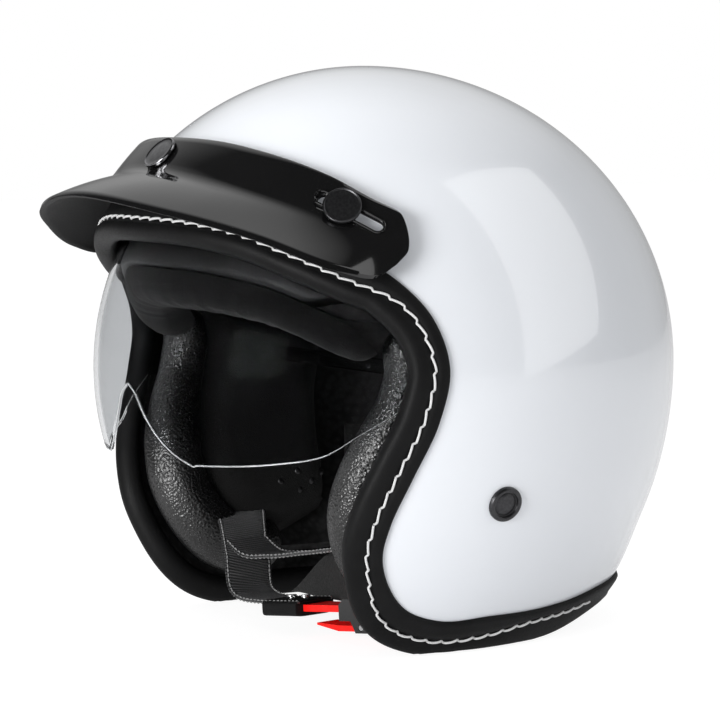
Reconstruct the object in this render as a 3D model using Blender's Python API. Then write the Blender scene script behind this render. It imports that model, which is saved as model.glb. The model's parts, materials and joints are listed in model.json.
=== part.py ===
"""Open face motorcycle helmet with a press-snap peak and a drop-down sun visor.

Everything is modelled about the middle of the shell, which is also the visor's axis, and hangs
from one empty that stands the helmet on the surface below it. Metres, +Z up, the face opening
looks along -Y and +X is the wearer's left.
"""

from math import atan2, cos, pi, radians, sin, sqrt, tau

import bmesh
import bpy
import numpy as np
from mathutils import Matrix, Vector

# Shell: front and top share one radius, so that the visor can turn under them
SHELL_HALF_WIDTH = 0.118
SHELL_ROUND = 0.1265
SHELL_REAR = 0.1405
SHELL_LOWER = 0.149
SHELL_WALL = 0.0035
FIT_GAP = 0.0003
LINER_GAP = 0.0016
REST_DROP = 0.1105

# Lip line of the leather edging on the shell, as angle from the front and height
BROW_HEIGHT = 0.072
TEMPLE_ANGLE = 62.0
TEMPLE_HEIGHT = 0.043
EAR_ANGLE = 72.0
EAR_HEIGHT = 0.0085
CHEEK_ANGLE = 59.6
CHEEK_HEIGHT = -0.065
LOWER_EDGE_HEIGHT = -0.0955
NAPE_HEIGHT = -0.0905

# Leather edging: a channel that grips the shell's edge
TRIM_THICKNESS = 0.0019
TRIM_COVER = 0.011
TRIM_LOWER_EXTRA = 0.0045
TRIM_REAR_LESS = 0.0065
TRIM_NOSE = 0.0055
TRIM_GRIP = 0.0045

# Sun visor and the pocket that it slides up into
VISOR_INSET = 0.0098
VISOR_THICKNESS = 0.002
VISOR_CLEARANCE = 0.0009
VISOR_TIP_DROP = 0.0333
VISOR_TOP_ANGLE = 37.0
VISOR_EYE_RADIUS = 0.012
NOSE_ARCH_HEIGHT = -0.0017
NOSE_ARCH_HALF = 0.033
PIVOT_SHANK_RADIUS = 0.0028
PIVOT_PLAY = 0.0004
PIVOT_HEAD_RADIUS = 0.0056
PIVOT_HEAD_HEIGHT = 0.0018
BRACKET_RADIUS = 0.015
BRACKET_BOSS_RADIUS = 0.0062
BRACKET_THICKNESS = 0.0028
BRACKET_STEP = 0.0013
BRACKET_GAP = 0.0008

# Foam liner and the brow plate in front of it
BROW_PLATE_WALL = 0.0016
BROW_PLATE_REACH = 0.0238
BROW_PLATE_TOP = -0.006
BROW_PLATE_FLANGE = 0.010
BROW_PLATE_ANGLE = 57.0
LINER_CROWN_INSET = 0.030
LINER_CHEEK_INSET = 0.020
POCKET_REAR_START = 0.020
POCKET_REAR_END = 0.060

# Padding
SOFT_GAP = 0.0021
CROWN_PAD_THICKNESS = 0.009
CROWN_PAD_FRONT = 34.0
CROWN_PAD_SIDE = 18.0
CROWN_PAD_REAR = -12.0
FOREHEAD_PAD_DEPTH = 0.0145
FOREHEAD_PAD_THICKNESS = 0.012
CHEEK_PAD_THICKNESS = 0.024
CHEEK_PAD_EDGE = 0.008
CHEEK_PAD_REAR_ANGLE = 110.0
CHEEK_PAD_TOP = 0.034
CHEEK_PAD_GAP = 0.0030
CHEEK_PAD_REACH = 0.009
CHEEK_BOLSTER = 0.007
NECK_ROLL_THICKNESS = 0.018
NECK_ROLL_EDGE = 0.006
NECK_ROLL_TOP = -0.045
NECK_ROLL_START = 118.0

# Peak
PEAK_STANDOFF = 0.0055
PEAK_THICKNESS = 0.0024
PEAK_BOW = 0.0010
SLOT_LENGTH = 0.029
SLOT_WIDTH = 0.0056
SLOT_SHIFT = 0.0035

# Snaps that hold the peak
SNAP_CAP_RADIUS = 0.0077
SNAP_CAP_HEIGHT = 0.0022
SNAP_SHANK_RADIUS = 0.0023
SNAP_SOCKET_RADIUS = 0.0062
SNAP_STUD_RADIUS = 0.0042
SNAP_STUD_HEIGHT = 0.0022
SNAP_POST_RADIUS = 0.0025
SNAP_WASHER_RADIUS = 0.0060
SNAP_WASHER_THICKNESS = 0.0014
SNAP_WASHER_GAP = 0.0014
SNAP_RISE = 0.0132
SNAP_SIDE_ANGLE = 51.0
SNAP_SIDE_DROP = 0.0178

# Chin strap, its anchors and the ratchet buckle
ANCHOR_ANGLE = 85.6
ANCHOR_HEIGHT = -0.0467
RIVET_HEAD_RADIUS = 0.0073
RIVET_HEAD_HEIGHT = 0.0018
RIVET_SHANK_RADIUS = 0.0035
ANCHOR_PLATE_WIDTH = 0.018
ANCHOR_PLATE_LENGTH = 0.024
ANCHOR_PLATE_THICKNESS = 0.0015
ANCHOR_PLATE_GAP = 0.0021
STRAP_WIDTH = 0.022
STRAP_THICKNESS = 0.0016
STRAP_SLOT_PLAY = 0.0015
STRAP_WAY = ((0.0255, -0.0118, -0.0640), (0.0460, -0.0180, -0.0665))
STRAP_DROP = (0.0495, -0.0225, -0.0765)
BUCKLE_INSET = 0.0660
BUCKLE_FRONT = -0.0293
BUCKLE_DROP = -0.0948
BUCKLE_ALONG = (-0.96, -0.225, -0.10)
BUCKLE_LENGTH = 0.020
BUCKLE_WIDTH = 0.024
BUCKLE_HEIGHT = 0.009
BUCKLE_WALL = 0.0016
BUCKLE_BEND = 0.0070
TONGUE_WIDTH = 0.015
TONGUE_THICKNESS = 0.0028
TONGUE_LENGTH = 0.058
TOOTH_PITCH = 0.0032
TOOTH_HEIGHT = 0.0011
LEVER_THICKNESS = 0.0024
LEVER_REACH = 0.030
LEVER_LIFT = 0.0025
LEVER_WIDTH = 0.0125
LEVER_EYE_RADIUS = 0.0023
LEVER_PIN_RADIUS = 0.0012
LEVER_PIN_X = -0.002
LEVER_PIN_Z = -0.0071
PAWL_X = 0.0065
SPRING_WIRE = 0.0006
SPRING_TURNS = 4
SPRING_PITCH = 0.00068
SPRING_LEG = 0.0050
STRAP_RIVET_RADIUS = 0.0021
STRAP_RIVET_PLACES = (0.0297, 0.0377)
STRAP_END = 0.0055
CHIN_LOOP = ((0.068, -0.030, -0.0720), (0.084, -0.0375, -0.0835), (0.097, -0.0430, -0.0965))

# Facet counts
LOOP_STATIONS = 60
LINER_STATIONS = 44
DOME_RINGS = 8
ROUND_SIDES = 16

VISOR_POLE = SHELL_HALF_WIDTH - VISOR_INSET
POLE = Vector((0.0, cos(radians(40)), sin(radians(40))))
SIDES = (("left", 1), ("right", -1))


def clear_scene():
    for obj in list(bpy.data.objects):
        bpy.data.objects.remove(obj, do_unlink=True)


def material(name, colour, roughness, metallic=0.0, alpha=1.0):
    made = bpy.data.materials.new(name)
    made.use_nodes = True
    shader = made.node_tree.nodes["Principled BSDF"]
    shader.inputs["Base Color"].default_value = (*colour, 1.0)
    shader.inputs["Roughness"].default_value = roughness
    shader.inputs["Metallic"].default_value = metallic
    shader.inputs["Alpha"].default_value = alpha
    return made


def smooth(value, start, end):
    """Ramp from 0 at start to 1 at end, level at both."""
    share = np.clip((np.asarray(value, float) - start) / (end - start), 0.0, 1.0)
    return share * share * (3 - 2 * share)


def curve_through(points, per_span=12, closed=False):
    """Smooth curve through the points, as an array."""
    pts = np.asarray(points, float)
    if closed:
        pts = np.vstack([pts[-2:], pts, pts[:3]])
    steps = np.maximum(np.linalg.norm(np.diff(pts, axis=0), axis=1), 1e-9)
    at = np.concatenate([[0.0], np.cumsum(steps)])
    slope = np.gradient(pts, at, axis=0)
    first, last = (2, len(pts) - 3) if closed else (0, len(pts) - 1)
    made = []
    for i in range(first, last):
        share = np.linspace(0, 1, per_span, endpoint=False)[:, None]
        span = at[i + 1] - at[i]
        made.append((2 * share**3 - 3 * share**2 + 1) * pts[i]
                    + (share**3 - 2 * share**2 + share) * span * slope[i]
                    + (3 * share**2 - 2 * share**3) * pts[i + 1]
                    + (share**3 - share**2) * span * slope[i + 1])
    if not closed:
        made.append(pts[-1:])
    return np.vstack(made)


def evenly(curve, count, closed=False):
    """The curve again with count points at equal steps along it."""
    line = np.vstack([curve, curve[:1]]) if closed else curve
    steps = np.linalg.norm(np.diff(line, axis=0), axis=1)
    along = np.concatenate([[0.0], np.cumsum(steps)])
    wanted = np.linspace(0, along[-1], count, endpoint=not closed)
    return np.stack([np.interp(wanted, along, line[:, k]) for k in range(3)], axis=1)


def unit(vectors):
    vectors = np.asarray(vectors, float)
    return vectors / np.linalg.norm(vectors, axis=-1, keepdims=True)


def shell_axes(points):
    """Half axes of the shell that rule at each point, by its front, rear, top and lower parts."""
    points = np.asarray(points, float)
    axes = np.empty_like(points)
    axes[..., 0] = SHELL_HALF_WIDTH
    axes[..., 1] = np.where(points[..., 1] < 0, SHELL_ROUND, SHELL_REAR)
    axes[..., 2] = np.where(points[..., 2] > 0, SHELL_ROUND, SHELL_LOWER)
    return axes


def on_shell(points, inset=0.0):
    """Points moved along their rays from the middle until they lie inset below the shell's face."""
    rays = unit(points)
    radius = 1 / np.linalg.norm(rays / shell_axes(rays), axis=-1, keepdims=True)
    return rays * (radius - np.broadcast_to(np.asarray(inset, float)[..., None], radius.shape))


def shell_normal(points):
    return unit(np.asarray(points, float) / shell_axes(points) ** 2)


def shell_spot(angle, height):
    """Point of the shell's face at an angle from the front (degrees, wearer's left) and a height."""
    turn = radians(angle)
    depth = SHELL_ROUND if cos(turn) > 0 else SHELL_REAR
    tall = SHELL_ROUND if height > 0 else SHELL_LOWER
    flat = 1 / sqrt((sin(turn) / SHELL_HALF_WIDTH) ** 2 + (cos(turn) / depth) ** 2)
    reach = flat * sqrt(1 - (height / tall) ** 2)
    return np.array([reach * sin(turn), -reach * cos(turn), height])


def pocket_inset(points):
    """How far the foam lies below the shell's face: deep where the visor turns, snug at the rear."""
    rear = smooth(on_shell(points)[..., 1], POCKET_REAR_START, POCKET_REAR_END)
    deep = VISOR_INSET + VISOR_THICKNESS + VISOR_CLEARANCE + BROW_PLATE_WALL + 2 * FIT_GAP
    return deep + (SHELL_WALL + LINER_GAP - deep) * rear


def liner_inset(points):
    """How far the foam's inner face lies below the shell's face: thick on top, thin at the cheeks."""
    low = smooth(-on_shell(points)[..., 2], -0.050, 0.050)
    return LINER_CROWN_INSET + (LINER_CHEEK_INSET - LINER_CROWN_INSET) * low


def lip_half():
    """Half of the edging's lip line, brow to nape, as (angle, height)."""
    return [(0, BROW_HEIGHT), (20, BROW_HEIGHT - 0.0015), (38, BROW_HEIGHT - 0.0075),
            (TEMPLE_ANGLE - 10, TEMPLE_HEIGHT + 0.011), (TEMPLE_ANGLE, TEMPLE_HEIGHT),
            (EAR_ANGLE - 3, EAR_HEIGHT + 0.0195), (EAR_ANGLE, EAR_HEIGHT),
            (EAR_ANGLE - 2, EAR_HEIGHT - 0.0205), (CHEEK_ANGLE + 5.4, CHEEK_HEIGHT + 0.0305),
            (CHEEK_ANGLE + 1.4, CHEEK_HEIGHT + 0.012), (CHEEK_ANGLE, CHEEK_HEIGHT),
            (CHEEK_ANGLE + 1.4, CHEEK_HEIGHT - 0.013), (CHEEK_ANGLE + 6.4, LOWER_EDGE_HEIGHT + 0.0055),
            (CHEEK_ANGLE + 15, LOWER_EDGE_HEIGHT), (90, LOWER_EDGE_HEIGHT), (106, LOWER_EDGE_HEIGHT),
            (118, LOWER_EDGE_HEIGHT + 0.0010), (134, NAPE_HEIGHT - 0.0008), (155, NAPE_HEIGHT - 0.0003),
            (180, NAPE_HEIGHT)]


def lip_loop(count):
    """Closed lip line, from the brow round the wearer's left to the nape and back."""
    left = [shell_spot(angle, height) for angle, height in lip_half()]
    right = [spot * (-1, 1, 1) for spot in left[-2:0:-1]]
    dense = curve_through(left + right, closed=True)
    return on_shell(evenly(dense, count, closed=True))


def away_from_shell(loop):
    """Unit directions in the shell's face, square to the lip line, pointing into the opening."""
    closed = np.linalg.norm(loop[0] - loop[-1]) < 2 * np.linalg.norm(loop[0] - loop[1])
    ring = np.vstack([loop[-1:], loop, loop[:1]]) if closed else loop
    along = np.gradient(ring, axis=0)
    along = unit(along[1:-1] if closed else along)
    across = unit(np.cross(along, shell_normal(loop)))
    flip = np.where(across @ np.array(POLE) > 0, -1.0, 1.0)
    return across * np.median(flip)


def beyond_lip(loop, distance, inset=0.0):
    """The loop moved in the shell's face by distance towards the opening, then sunk by inset."""
    shift = np.broadcast_to(np.asarray(distance, float), (len(loop),))[:, None]
    return on_shell(loop + away_from_shell(loop) * shift, inset)


def build(name, points, faces, finish, location=(0, 0, 0), soft=True):
    """One object of the helmet from points and faces, facing out, hung from the helmet's empty."""
    mesh = bpy.data.meshes.new(name)
    mesh.from_pydata([tuple(p) for p in points], [], faces)
    shape = bmesh.new()
    shape.from_mesh(mesh)
    bmesh.ops.recalc_face_normals(shape, faces=shape.faces)
    shape.to_mesh(mesh)
    shape.free()
    return place(name, mesh, finish, location, soft)


def place(name, mesh, finish, location=(0, 0, 0), soft=True):
    obj = bpy.data.objects.new(name, mesh)
    bpy.context.collection.objects.link(obj)
    obj.location = location
    obj.parent = bpy.data.objects["helmet"]
    if finish is None:
        obj.hide_render = True
        obj.display_type = "WIRE"
    else:
        mesh.materials.append(finish)
    if soft:
        mesh.shade_smooth()
        mesh.set_sharp_from_angle(angle=radians(40))
    return obj


def cut(obj, cutter, operation="DIFFERENCE"):
    step = obj.modifiers.new("cut", "BOOLEAN")
    step.operation = operation
    step.object = cutter
    return obj


def grid_faces(rows, columns, start=0, wrap=False):
    """Quads of a grid of points that is stored row by row."""
    faces = []
    for r in range(rows - 1):
        for c in range(columns if wrap else columns - 1):
            near = start + r * columns + c
            side = start + r * columns + (c + 1) % columns
            faces.append((near, side, side + columns, near + columns))
    return faces


def dome(name, edge, outer, inner, finish, rings=DOME_RINGS, hem=None):
    """Closed shell between two insets, from a pole at the upper rear out to an edge loop.

    A hem is one more loop just inside the edge, where the shell's face has to be true.
    """
    rays = unit(edge if hem is None else hem)
    pole = np.array(POLE)
    angle = np.arccos(np.clip(rays @ pole, -1, 1))[:, None]
    spread = []
    for k in range(1, rings + 1):
        share = k / rings
        spread.append((np.sin((1 - share) * angle) * pole + np.sin(share * angle) * rays) / np.sin(angle))
    if hem is not None:
        spread.append(unit(edge))
        rings += 1
    spread = np.vstack(spread)
    count = len(edge)
    points = [on_shell(pole[None], outer(pole[None]))]
    points += [on_shell(spread, outer(spread)), on_shell(pole[None], inner(pole[None]))]
    points += [on_shell(spread, inner(spread))]
    points = np.vstack(points)
    second = 1 + rings * count
    faces = grid_faces(rings, count, 1, wrap=True) + grid_faces(rings, count, second + 1, wrap=True)
    for c in range(count):
        after = (c + 1) % count
        faces.append((0, 1 + c, 1 + after))
        faces.append((second, second + 1 + c, second + 1 + after))
        rim = (rings - 1) * count
        faces.append((1 + rim + c, 1 + rim + after, second + 1 + rim + after, second + 1 + rim + c))
    return build(name, points, faces, finish)


def sweep(name, stations, finish, closed=False):
    """Solid along stations, each a ring of points of the same count."""
    rows, columns = len(stations), len(stations[0])
    points = np.vstack(stations)
    faces = grid_faces(rows, columns, wrap=True)
    if closed:
        last = (rows - 1) * columns
        for c in range(columns):
            after = (c + 1) % columns
            faces.append((last + c, last + after, after, c))
    else:
        faces.append(tuple(range(columns)))
        faces.append(tuple(range((rows - 1) * columns, rows * columns)))
    return build(name, points, faces, finish)


def turned(name, profile, finish, location=(0, 0, 0), axis=(0, 0, 1), sides=ROUND_SIDES):
    """Solid of revolution from (radius, height) pairs along an axis. Radius 0 closes an end."""
    points, rings = [], []
    for radius, height in profile:
        if radius == 0:
            rings.append([len(points)])
            points.append((0, 0, height))
            continue
        rings.append(list(range(len(points), len(points) + sides)))
        turns = [tau * k / sides for k in range(sides)]
        points += [(radius * cos(turn), radius * sin(turn), height) for turn in turns]
    faces = []
    closed_ring = profile[0][0] != 0
    pairs = list(zip(rings, rings[1:])) + ([(rings[-1], rings[0])] if closed_ring else [])
    for lower, upper in pairs:
        for k in range(sides):
            after = (k + 1) % sides
            corners = [lower[k % len(lower)], lower[after % len(lower)], upper[after % len(upper)],
                       upper[k % len(upper)]]
            faces.append(tuple(dict.fromkeys(corners)))
    obj = build(name, points, faces, finish, location)
    obj.rotation_mode = "QUATERNION"
    obj.rotation_quaternion = Vector((0, 0, 1)).rotation_difference(Vector(axis))
    return obj


def cutter_rod(name, location, axis, radius, low, high, sides=ROUND_SIDES):
    return turned(name, [(0, low), (radius, low), (radius, high), (0, high)], None, location, axis, sides)


def plate(name, outline, thickness, finish, place_at, bottom=0.0):
    """Flat plate from an (x, y) outline, put in place by a matrix."""
    count = len(outline)
    points = [place_at @ Vector((x, y, z)) for z in (bottom, bottom + thickness) for x, y in outline]
    faces = grid_faces(2, count, wrap=True) + [tuple(range(count)), tuple(range(count, 2 * count))]
    return build(name, points, faces, finish)


def rounded(width, length, radius, steps=4):
    """Outline of a rectangle with round corners, about its middle."""
    corners = ((1, 1, 0), (-1, 1, 1), (-1, -1, 2), (1, -1, 3))
    return [(sx * (width / 2 - radius) + radius * cos(pi / 2 * (quarter + k / steps)),
             sy * (length / 2 - radius) + radius * sin(pi / 2 * (quarter + k / steps)))
            for sx, sy, quarter in corners for k in range(steps + 1)]


def facing(spot, out, up=(0, 0, 1)):
    """Matrix whose Z looks along out at a spot, with Y as near to up as that allows."""
    z = Vector(out).normalized()
    x = Vector(up).cross(z).normalized()
    made = Matrix((x, z.cross(x), z)).transposed().to_4x4()
    made.translation = Vector(spot)
    return made


def shell_and_edging(finish):
    loop = lip_loop(LOOP_STATIONS)
    hem = beyond_lip(loop, -TRIM_THICKNESS)
    shell = dome("outer_shell", beyond_lip(loop, trim_cover(loop)), lambda rays: np.zeros(len(rays)),
                 lambda rays: np.full(len(rays), SHELL_WALL), finish["shell"], hem=hem)
    for name, spot in fastener_spots().items():
        radius = RIVET_SHANK_RADIUS if name.startswith("anchor") else SNAP_POST_RADIUS
        cut(shell, cutter_rod(f"{name}_hole", spot, shell_normal(spot), radius + PIVOT_PLAY, -0.02, 0.02))
    edge_trim(loop, finish["edging"])


def trim_cover(loop):
    """How far the shell runs on under the edging: further along the lower edge, less at the nape."""
    lower = TRIM_LOWER_EXTRA * smooth(-loop[:, 2], 0.070, 0.095)
    return TRIM_COVER + lower - TRIM_REAR_LESS * smooth(loop[:, 1], 0.042, 0.090)


def edge_trim(loop, finish):
    """Leather-covered channel round the shell's whole edge, flat where the helmet stands on it."""
    cover = trim_cover(loop)
    inner = SHELL_WALL + 2 * FIT_GAP
    deep = inner + TRIM_THICKNESS
    middle, half = (deep - TRIM_THICKNESS) / 2, (deep + TRIM_THICKNESS) / 2
    section = [(0, -FIT_GAP), (0, -0.6 * TRIM_THICKNESS), (TRIM_THICKNESS, -TRIM_THICKNESS)]
    for k in range(7):
        turn = pi * k / 6
        section.append((cover + TRIM_NOSE * sin(turn), middle - half * cos(turn)))
    section += [(cover - TRIM_GRIP, deep), (cover - TRIM_GRIP, inner), (cover + FIT_GAP, inner),
                (cover + FIT_GAP, -FIT_GAP)]
    rings = np.stack([beyond_lip(loop, far, np.full(len(loop), sunk)) for far, sunk in section], axis=1)
    rings[..., 2] = np.maximum(rings[..., 2], -REST_DROP)
    sweep("edge_trim", list(rings), finish, closed=True)


def fastener_spots():
    """Where snaps and strap rivets pass through the shell's face."""
    spots = {"snap_center": shell_spot(0, BROW_HEIGHT + SNAP_RISE)}
    for side, sign in SIDES:
        side_height = BROW_HEIGHT + SNAP_RISE - SNAP_SIDE_DROP
        spots[f"snap_{side}"] = shell_spot(sign * SNAP_SIDE_ANGLE, side_height)
        spots[f"anchor_{side}"] = shell_spot(sign * ANCHOR_ANGLE, ANCHOR_HEIGHT)
    return spots


def liner_edge(loop):
    """How far the foam reaches past the lip line: to the edging, or the brow plate's flange in front."""
    brow = smooth(loop[:, 2], 0.030, 0.055)
    edging = trim_cover(loop) - TRIM_GRIP - LINER_GAP
    return edging + (BROW_PLATE_REACH - BROW_PLATE_WALL - FIT_GAP - edging) * brow


def foam_liner(finish):
    loop = lip_loop(LINER_STATIONS)
    liner = dome("eps_liner", beyond_lip(loop, liner_edge(loop)), pocket_inset, liner_inset, finish["foam"])
    for side, sign in SIDES:
        inner_face = VISOR_POLE - VISOR_THICKNESS
        low = bracket_bottom() - FIT_GAP
        cut(liner, cutter_rod(f"bracket_{side}_recess", (0, 0, 0), (sign, 0, 0), BRACKET_RADIUS + FIT_GAP,
                              low, inner_face + BRACKET_THICKNESS))
        cut(liner, ribbon(f"strap_way_{side}", strap_route(sign), None, STRAP_SLOT_PLAY))


def crown_pad(finish):
    level = (CROWN_PAD_FRONT + CROWN_PAD_REAR) / 2
    swing = (CROWN_PAD_FRONT - CROWN_PAD_REAR) / 2
    rays = []
    stations = LINER_STATIONS * 3 // 4
    for k in range(stations):
        turn = tau * k / stations
        middle, ripple = (level + CROWN_PAD_SIDE) / 2, (level - CROWN_PAD_SIDE) / 2
        rise = radians(middle + swing * cos(turn) + ripple * cos(2 * turn))
        rays.append((cos(rise) * sin(turn), -cos(rise) * cos(turn), sin(rise)))
    dome("crown_liner", np.array(rays), lambda r: liner_inset(r) + SOFT_GAP,
         lambda r: liner_inset(r) + SOFT_GAP + CROWN_PAD_THICKNESS, finish["fabric"], rings=7)


def brow_stations(half_angle):
    """Lip line from one side of the brow to the other, within an angle of the front."""
    line = [shell_spot(a, h) for a, h in lip_half()[:7]]
    dense = curve_through([spot * (-1, 1, 1) for spot in line[:0:-1]] + line)
    angles = np.degrees(np.arctan2(dense[:, 0], -dense[:, 1]))
    return on_shell(evenly(dense[np.abs(angles) < half_angle], 23))


def brow_plate(finish):
    """Moulded strip in front of the foam, behind the visor, with a flange under the foam's edge."""
    face = VISOR_INSET + VISOR_THICKNESS + VISOR_CLEARANCE
    back = face + BROW_PLATE_WALL
    low, flange = BROW_PLATE_REACH - BROW_PLATE_WALL, back + BROW_PLATE_FLANGE
    steps = np.linspace(BROW_PLATE_TOP, low, 5)
    section = [(far, face) for far in steps] + [(BROW_PLATE_REACH, face + BROW_PLATE_WALL / 2)]
    section += [(BROW_PLATE_REACH, flange), (low + FIT_GAP, flange), (low + FIT_GAP, back)]
    section += [(far, back) for far in steps[-2::-1]]
    loop = brow_stations(BROW_PLATE_ANGLE)
    rings = np.stack([beyond_lip(loop, far, np.full(len(loop), sunk)) for far, sunk in section], axis=1)
    sweep("brow_plate", list(rings), finish["moulding"])


def forehead_pad(finish):
    """Roll under the brow plate's flange, flat against it and round below."""
    top = BROW_PLATE_REACH + FIT_GAP
    front = VISOR_INSET + VISOR_THICKNESS + VISOR_CLEARANCE + 0.5 * BROW_PLATE_FLANGE
    section = [(top, front + FOREHEAD_PAD_THICKNESS * 0.2)]
    for k in range(7):
        turn = pi * k / 6
        section.append((top + FOREHEAD_PAD_DEPTH * (0.35 + 0.65 * sin(turn)),
                        front + FOREHEAD_PAD_THICKNESS * (1 - cos(turn))))
    section.append((top, front + FOREHEAD_PAD_THICKNESS * 1.8))
    loop = brow_stations(BROW_PLATE_ANGLE - 4)
    rings = np.stack([beyond_lip(loop, far, np.full(len(loop), sunk)) for far, sunk in section], axis=1)
    sweep("forehead_pad", list(rings), finish["fabric"])


def crown_profile(share):
    """Cushion height across its width: full in the middle, drawn in at both edges."""
    return np.sqrt(np.clip(1 - (2 * share - 1) ** 4, 0, 1))


def cushion(name, first, last, columns, thickness, edge, finish, gap=SOFT_GAP, bolster=0.0):
    """Pad on the foam between two border lines, crowned, with its sides drawn in."""
    rows = len(first)
    across = np.linspace(0, 1, columns)
    drawn = 0.5 + (across - 0.5) * 0.94
    down = np.linspace(0, 1, rows)
    height = edge + (thickness - edge) * np.outer(crown_profile(down), crown_profile(across))
    height += bolster * np.outer(crown_profile(down), np.exp(-((across - 0.16) / 0.11) ** 2))
    faces_at = []
    for shares, top in ((across, 0.0), (drawn, height)):
        rays = unit(first)[:, None] * (1 - shares)[:, None] + unit(last)[:, None] * shares[:, None]
        base = liner_inset(rays) + gap
        faces_at.append(on_shell(rays, base + top).reshape(-1, 3))
    total = rows * columns
    faces = grid_faces(rows, columns) + grid_faces(rows, columns, total)
    rim = [c for c in range(columns)] + [r * columns + columns - 1 for r in range(1, rows)]
    rim += [(rows - 1) * columns + c for c in range(columns - 2, -1, -1)]
    rim += [r * columns for r in range(rows - 2, 0, -1)]
    for near, after in zip(rim, rim[1:] + rim[:1]):
        faces.append((near, after, after + total, near + total))
    return build(name, np.vstack(faces_at), faces, finish)


def cheek_pads(finish):
    """Pads behind the cheek edges, with a leather roll along the face opening."""
    half = on_shell(curve_through([shell_spot(a, h) for a, h in lip_half()]))
    inward = beyond_lip(half, CHEEK_PAD_REACH)
    turn = np.degrees(np.arctan2(half[:, 0], -half[:, 1]))
    keep = (half[:, 2] < CHEEK_PAD_TOP) & (turn < 88)
    front = evenly(inward[keep], 15)
    heights = np.linspace(CHEEK_PAD_TOP - 0.026, LOWER_EDGE_HEIGHT + 0.008, 15)
    rear = np.array([shell_spot(CHEEK_PAD_REAR_ANGLE, height) for height in heights])
    for side, sign in SIDES:
        mirror = np.array((sign, 1, 1))
        pad = cushion(f"cheek_pad_{side}", front * mirror, rear * mirror, 10, CHEEK_PAD_THICKNESS,
                      CHEEK_PAD_EDGE, finish["leather"], CHEEK_PAD_GAP, CHEEK_BOLSTER)
        cut(pad, ribbon(f"strap_slit_{side}", strap_route(sign), None, STRAP_SLOT_PLAY))


def neck_roll(finish):
    half = on_shell(curve_through([shell_spot(a, h) for a, h in lip_half()]))
    low = beyond_lip(half, liner_edge(half))
    turn = np.degrees(np.arctan2(half[:, 0], -half[:, 1]))
    left = evenly(low[turn > NECK_ROLL_START], 9)
    bottom = np.vstack([left, left[-2::-1] * (-1, 1, 1)])
    angles = [atan2(x, -y) * 180 / pi for x, y, _ in bottom]
    top = np.array([shell_spot(angle, NECK_ROLL_TOP) for angle in angles])
    cushion("neck_roll", bottom, top, 8, NECK_ROLL_THICKNESS, NECK_ROLL_EDGE, finish["fabric"])


def peak_lines(per_span=4):
    """Top edge, crease and brim edge of the peak, side to side, on its upper face."""
    lift, snap = PEAK_STANDOFF + PEAK_THICKNESS, BROW_HEIGHT + SNAP_RISE
    top = [(0, 0.0065), (26.5, 0.0031), (48, -0.0076), (58, -0.0162), (62.6, -0.0210), (64.8, -0.0252)]
    crease = [(0, -0.0062), (24, -0.0108), (46.1, -0.0212), (56.9, -0.0282), (62.6, -0.0319), (65.2, -0.0334)]
    brim = [(0, -0.033, -0.0077), (0.0008, -0.0306, -0.0079), (0.0039, -0.0286, -0.0071),
            (0.0078, -0.0205, -0.0110), (0.0018, -0.0125, -0.0112), (0.0006, -0.0080, -0.0088)]
    on_top, on_crease = (on_shell([shell_spot(a, snap + h) for a, h in marks], -lift)
                          for marks in (top, crease))
    lines = []
    for half in (on_top, on_crease, on_crease + np.array(brim)):
        lines.append(curve_through(np.vstack([half[:0:-1] * (-1, 1, 1), half]), per_span))
    return lines


def peak(finish):
    top, crease, brim = peak_lines()
    upper = []
    for share in (0, 0.5, 1.0):
        line = top + (crease - top) * share
        upper.append(on_shell(line, -(PEAK_STANDOFF + PEAK_THICKNESS)))
    for share in (0.33, 0.67, 1.0):
        line = crease + (brim - crease) * share
        line[:, 2] += PEAK_BOW * 4 * share * (1 - share)
        upper.append(line)
    upper = np.stack(upper, axis=1)
    along = np.gradient(upper, axis=0)
    down = np.gradient(upper, axis=1)
    out = unit(np.cross(along, down))
    out *= np.sign(np.sum(out * upper, axis=-1, keepdims=True))
    lower = upper - out * PEAK_THICKNESS
    made = sweep("peak", list(np.concatenate([upper, lower[:, ::-1]], axis=1)), finish["gloss_black"])
    centre = fastener_spots()["snap_center"]
    cut(made, cutter_rod("peak_center_hole", centre, shell_normal(centre), SNAP_SHANK_RADIUS + PIVOT_PLAY,
                         PEAK_STANDOFF - 0.004, PEAK_STANDOFF + 0.008))
    for side, sign in SIDES:
        spot = fastener_spots()[f"snap_{side}"]
        out_here = shell_normal(spot)
        slope = Vector((sign * 0.69, 0.58, -0.43))
        at = facing(spot + out_here * (PEAK_STANDOFF - 0.004), out_here, slope)
        at = at @ Matrix.Translation((0, SLOT_SHIFT, 0))
        outline = rounded(SLOT_WIDTH, SLOT_LENGTH, SLOT_WIDTH / 2 - 1e-5)
        cut(made, plate(f"peak_slot_{side}", outline, 0.014, None, at))


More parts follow.
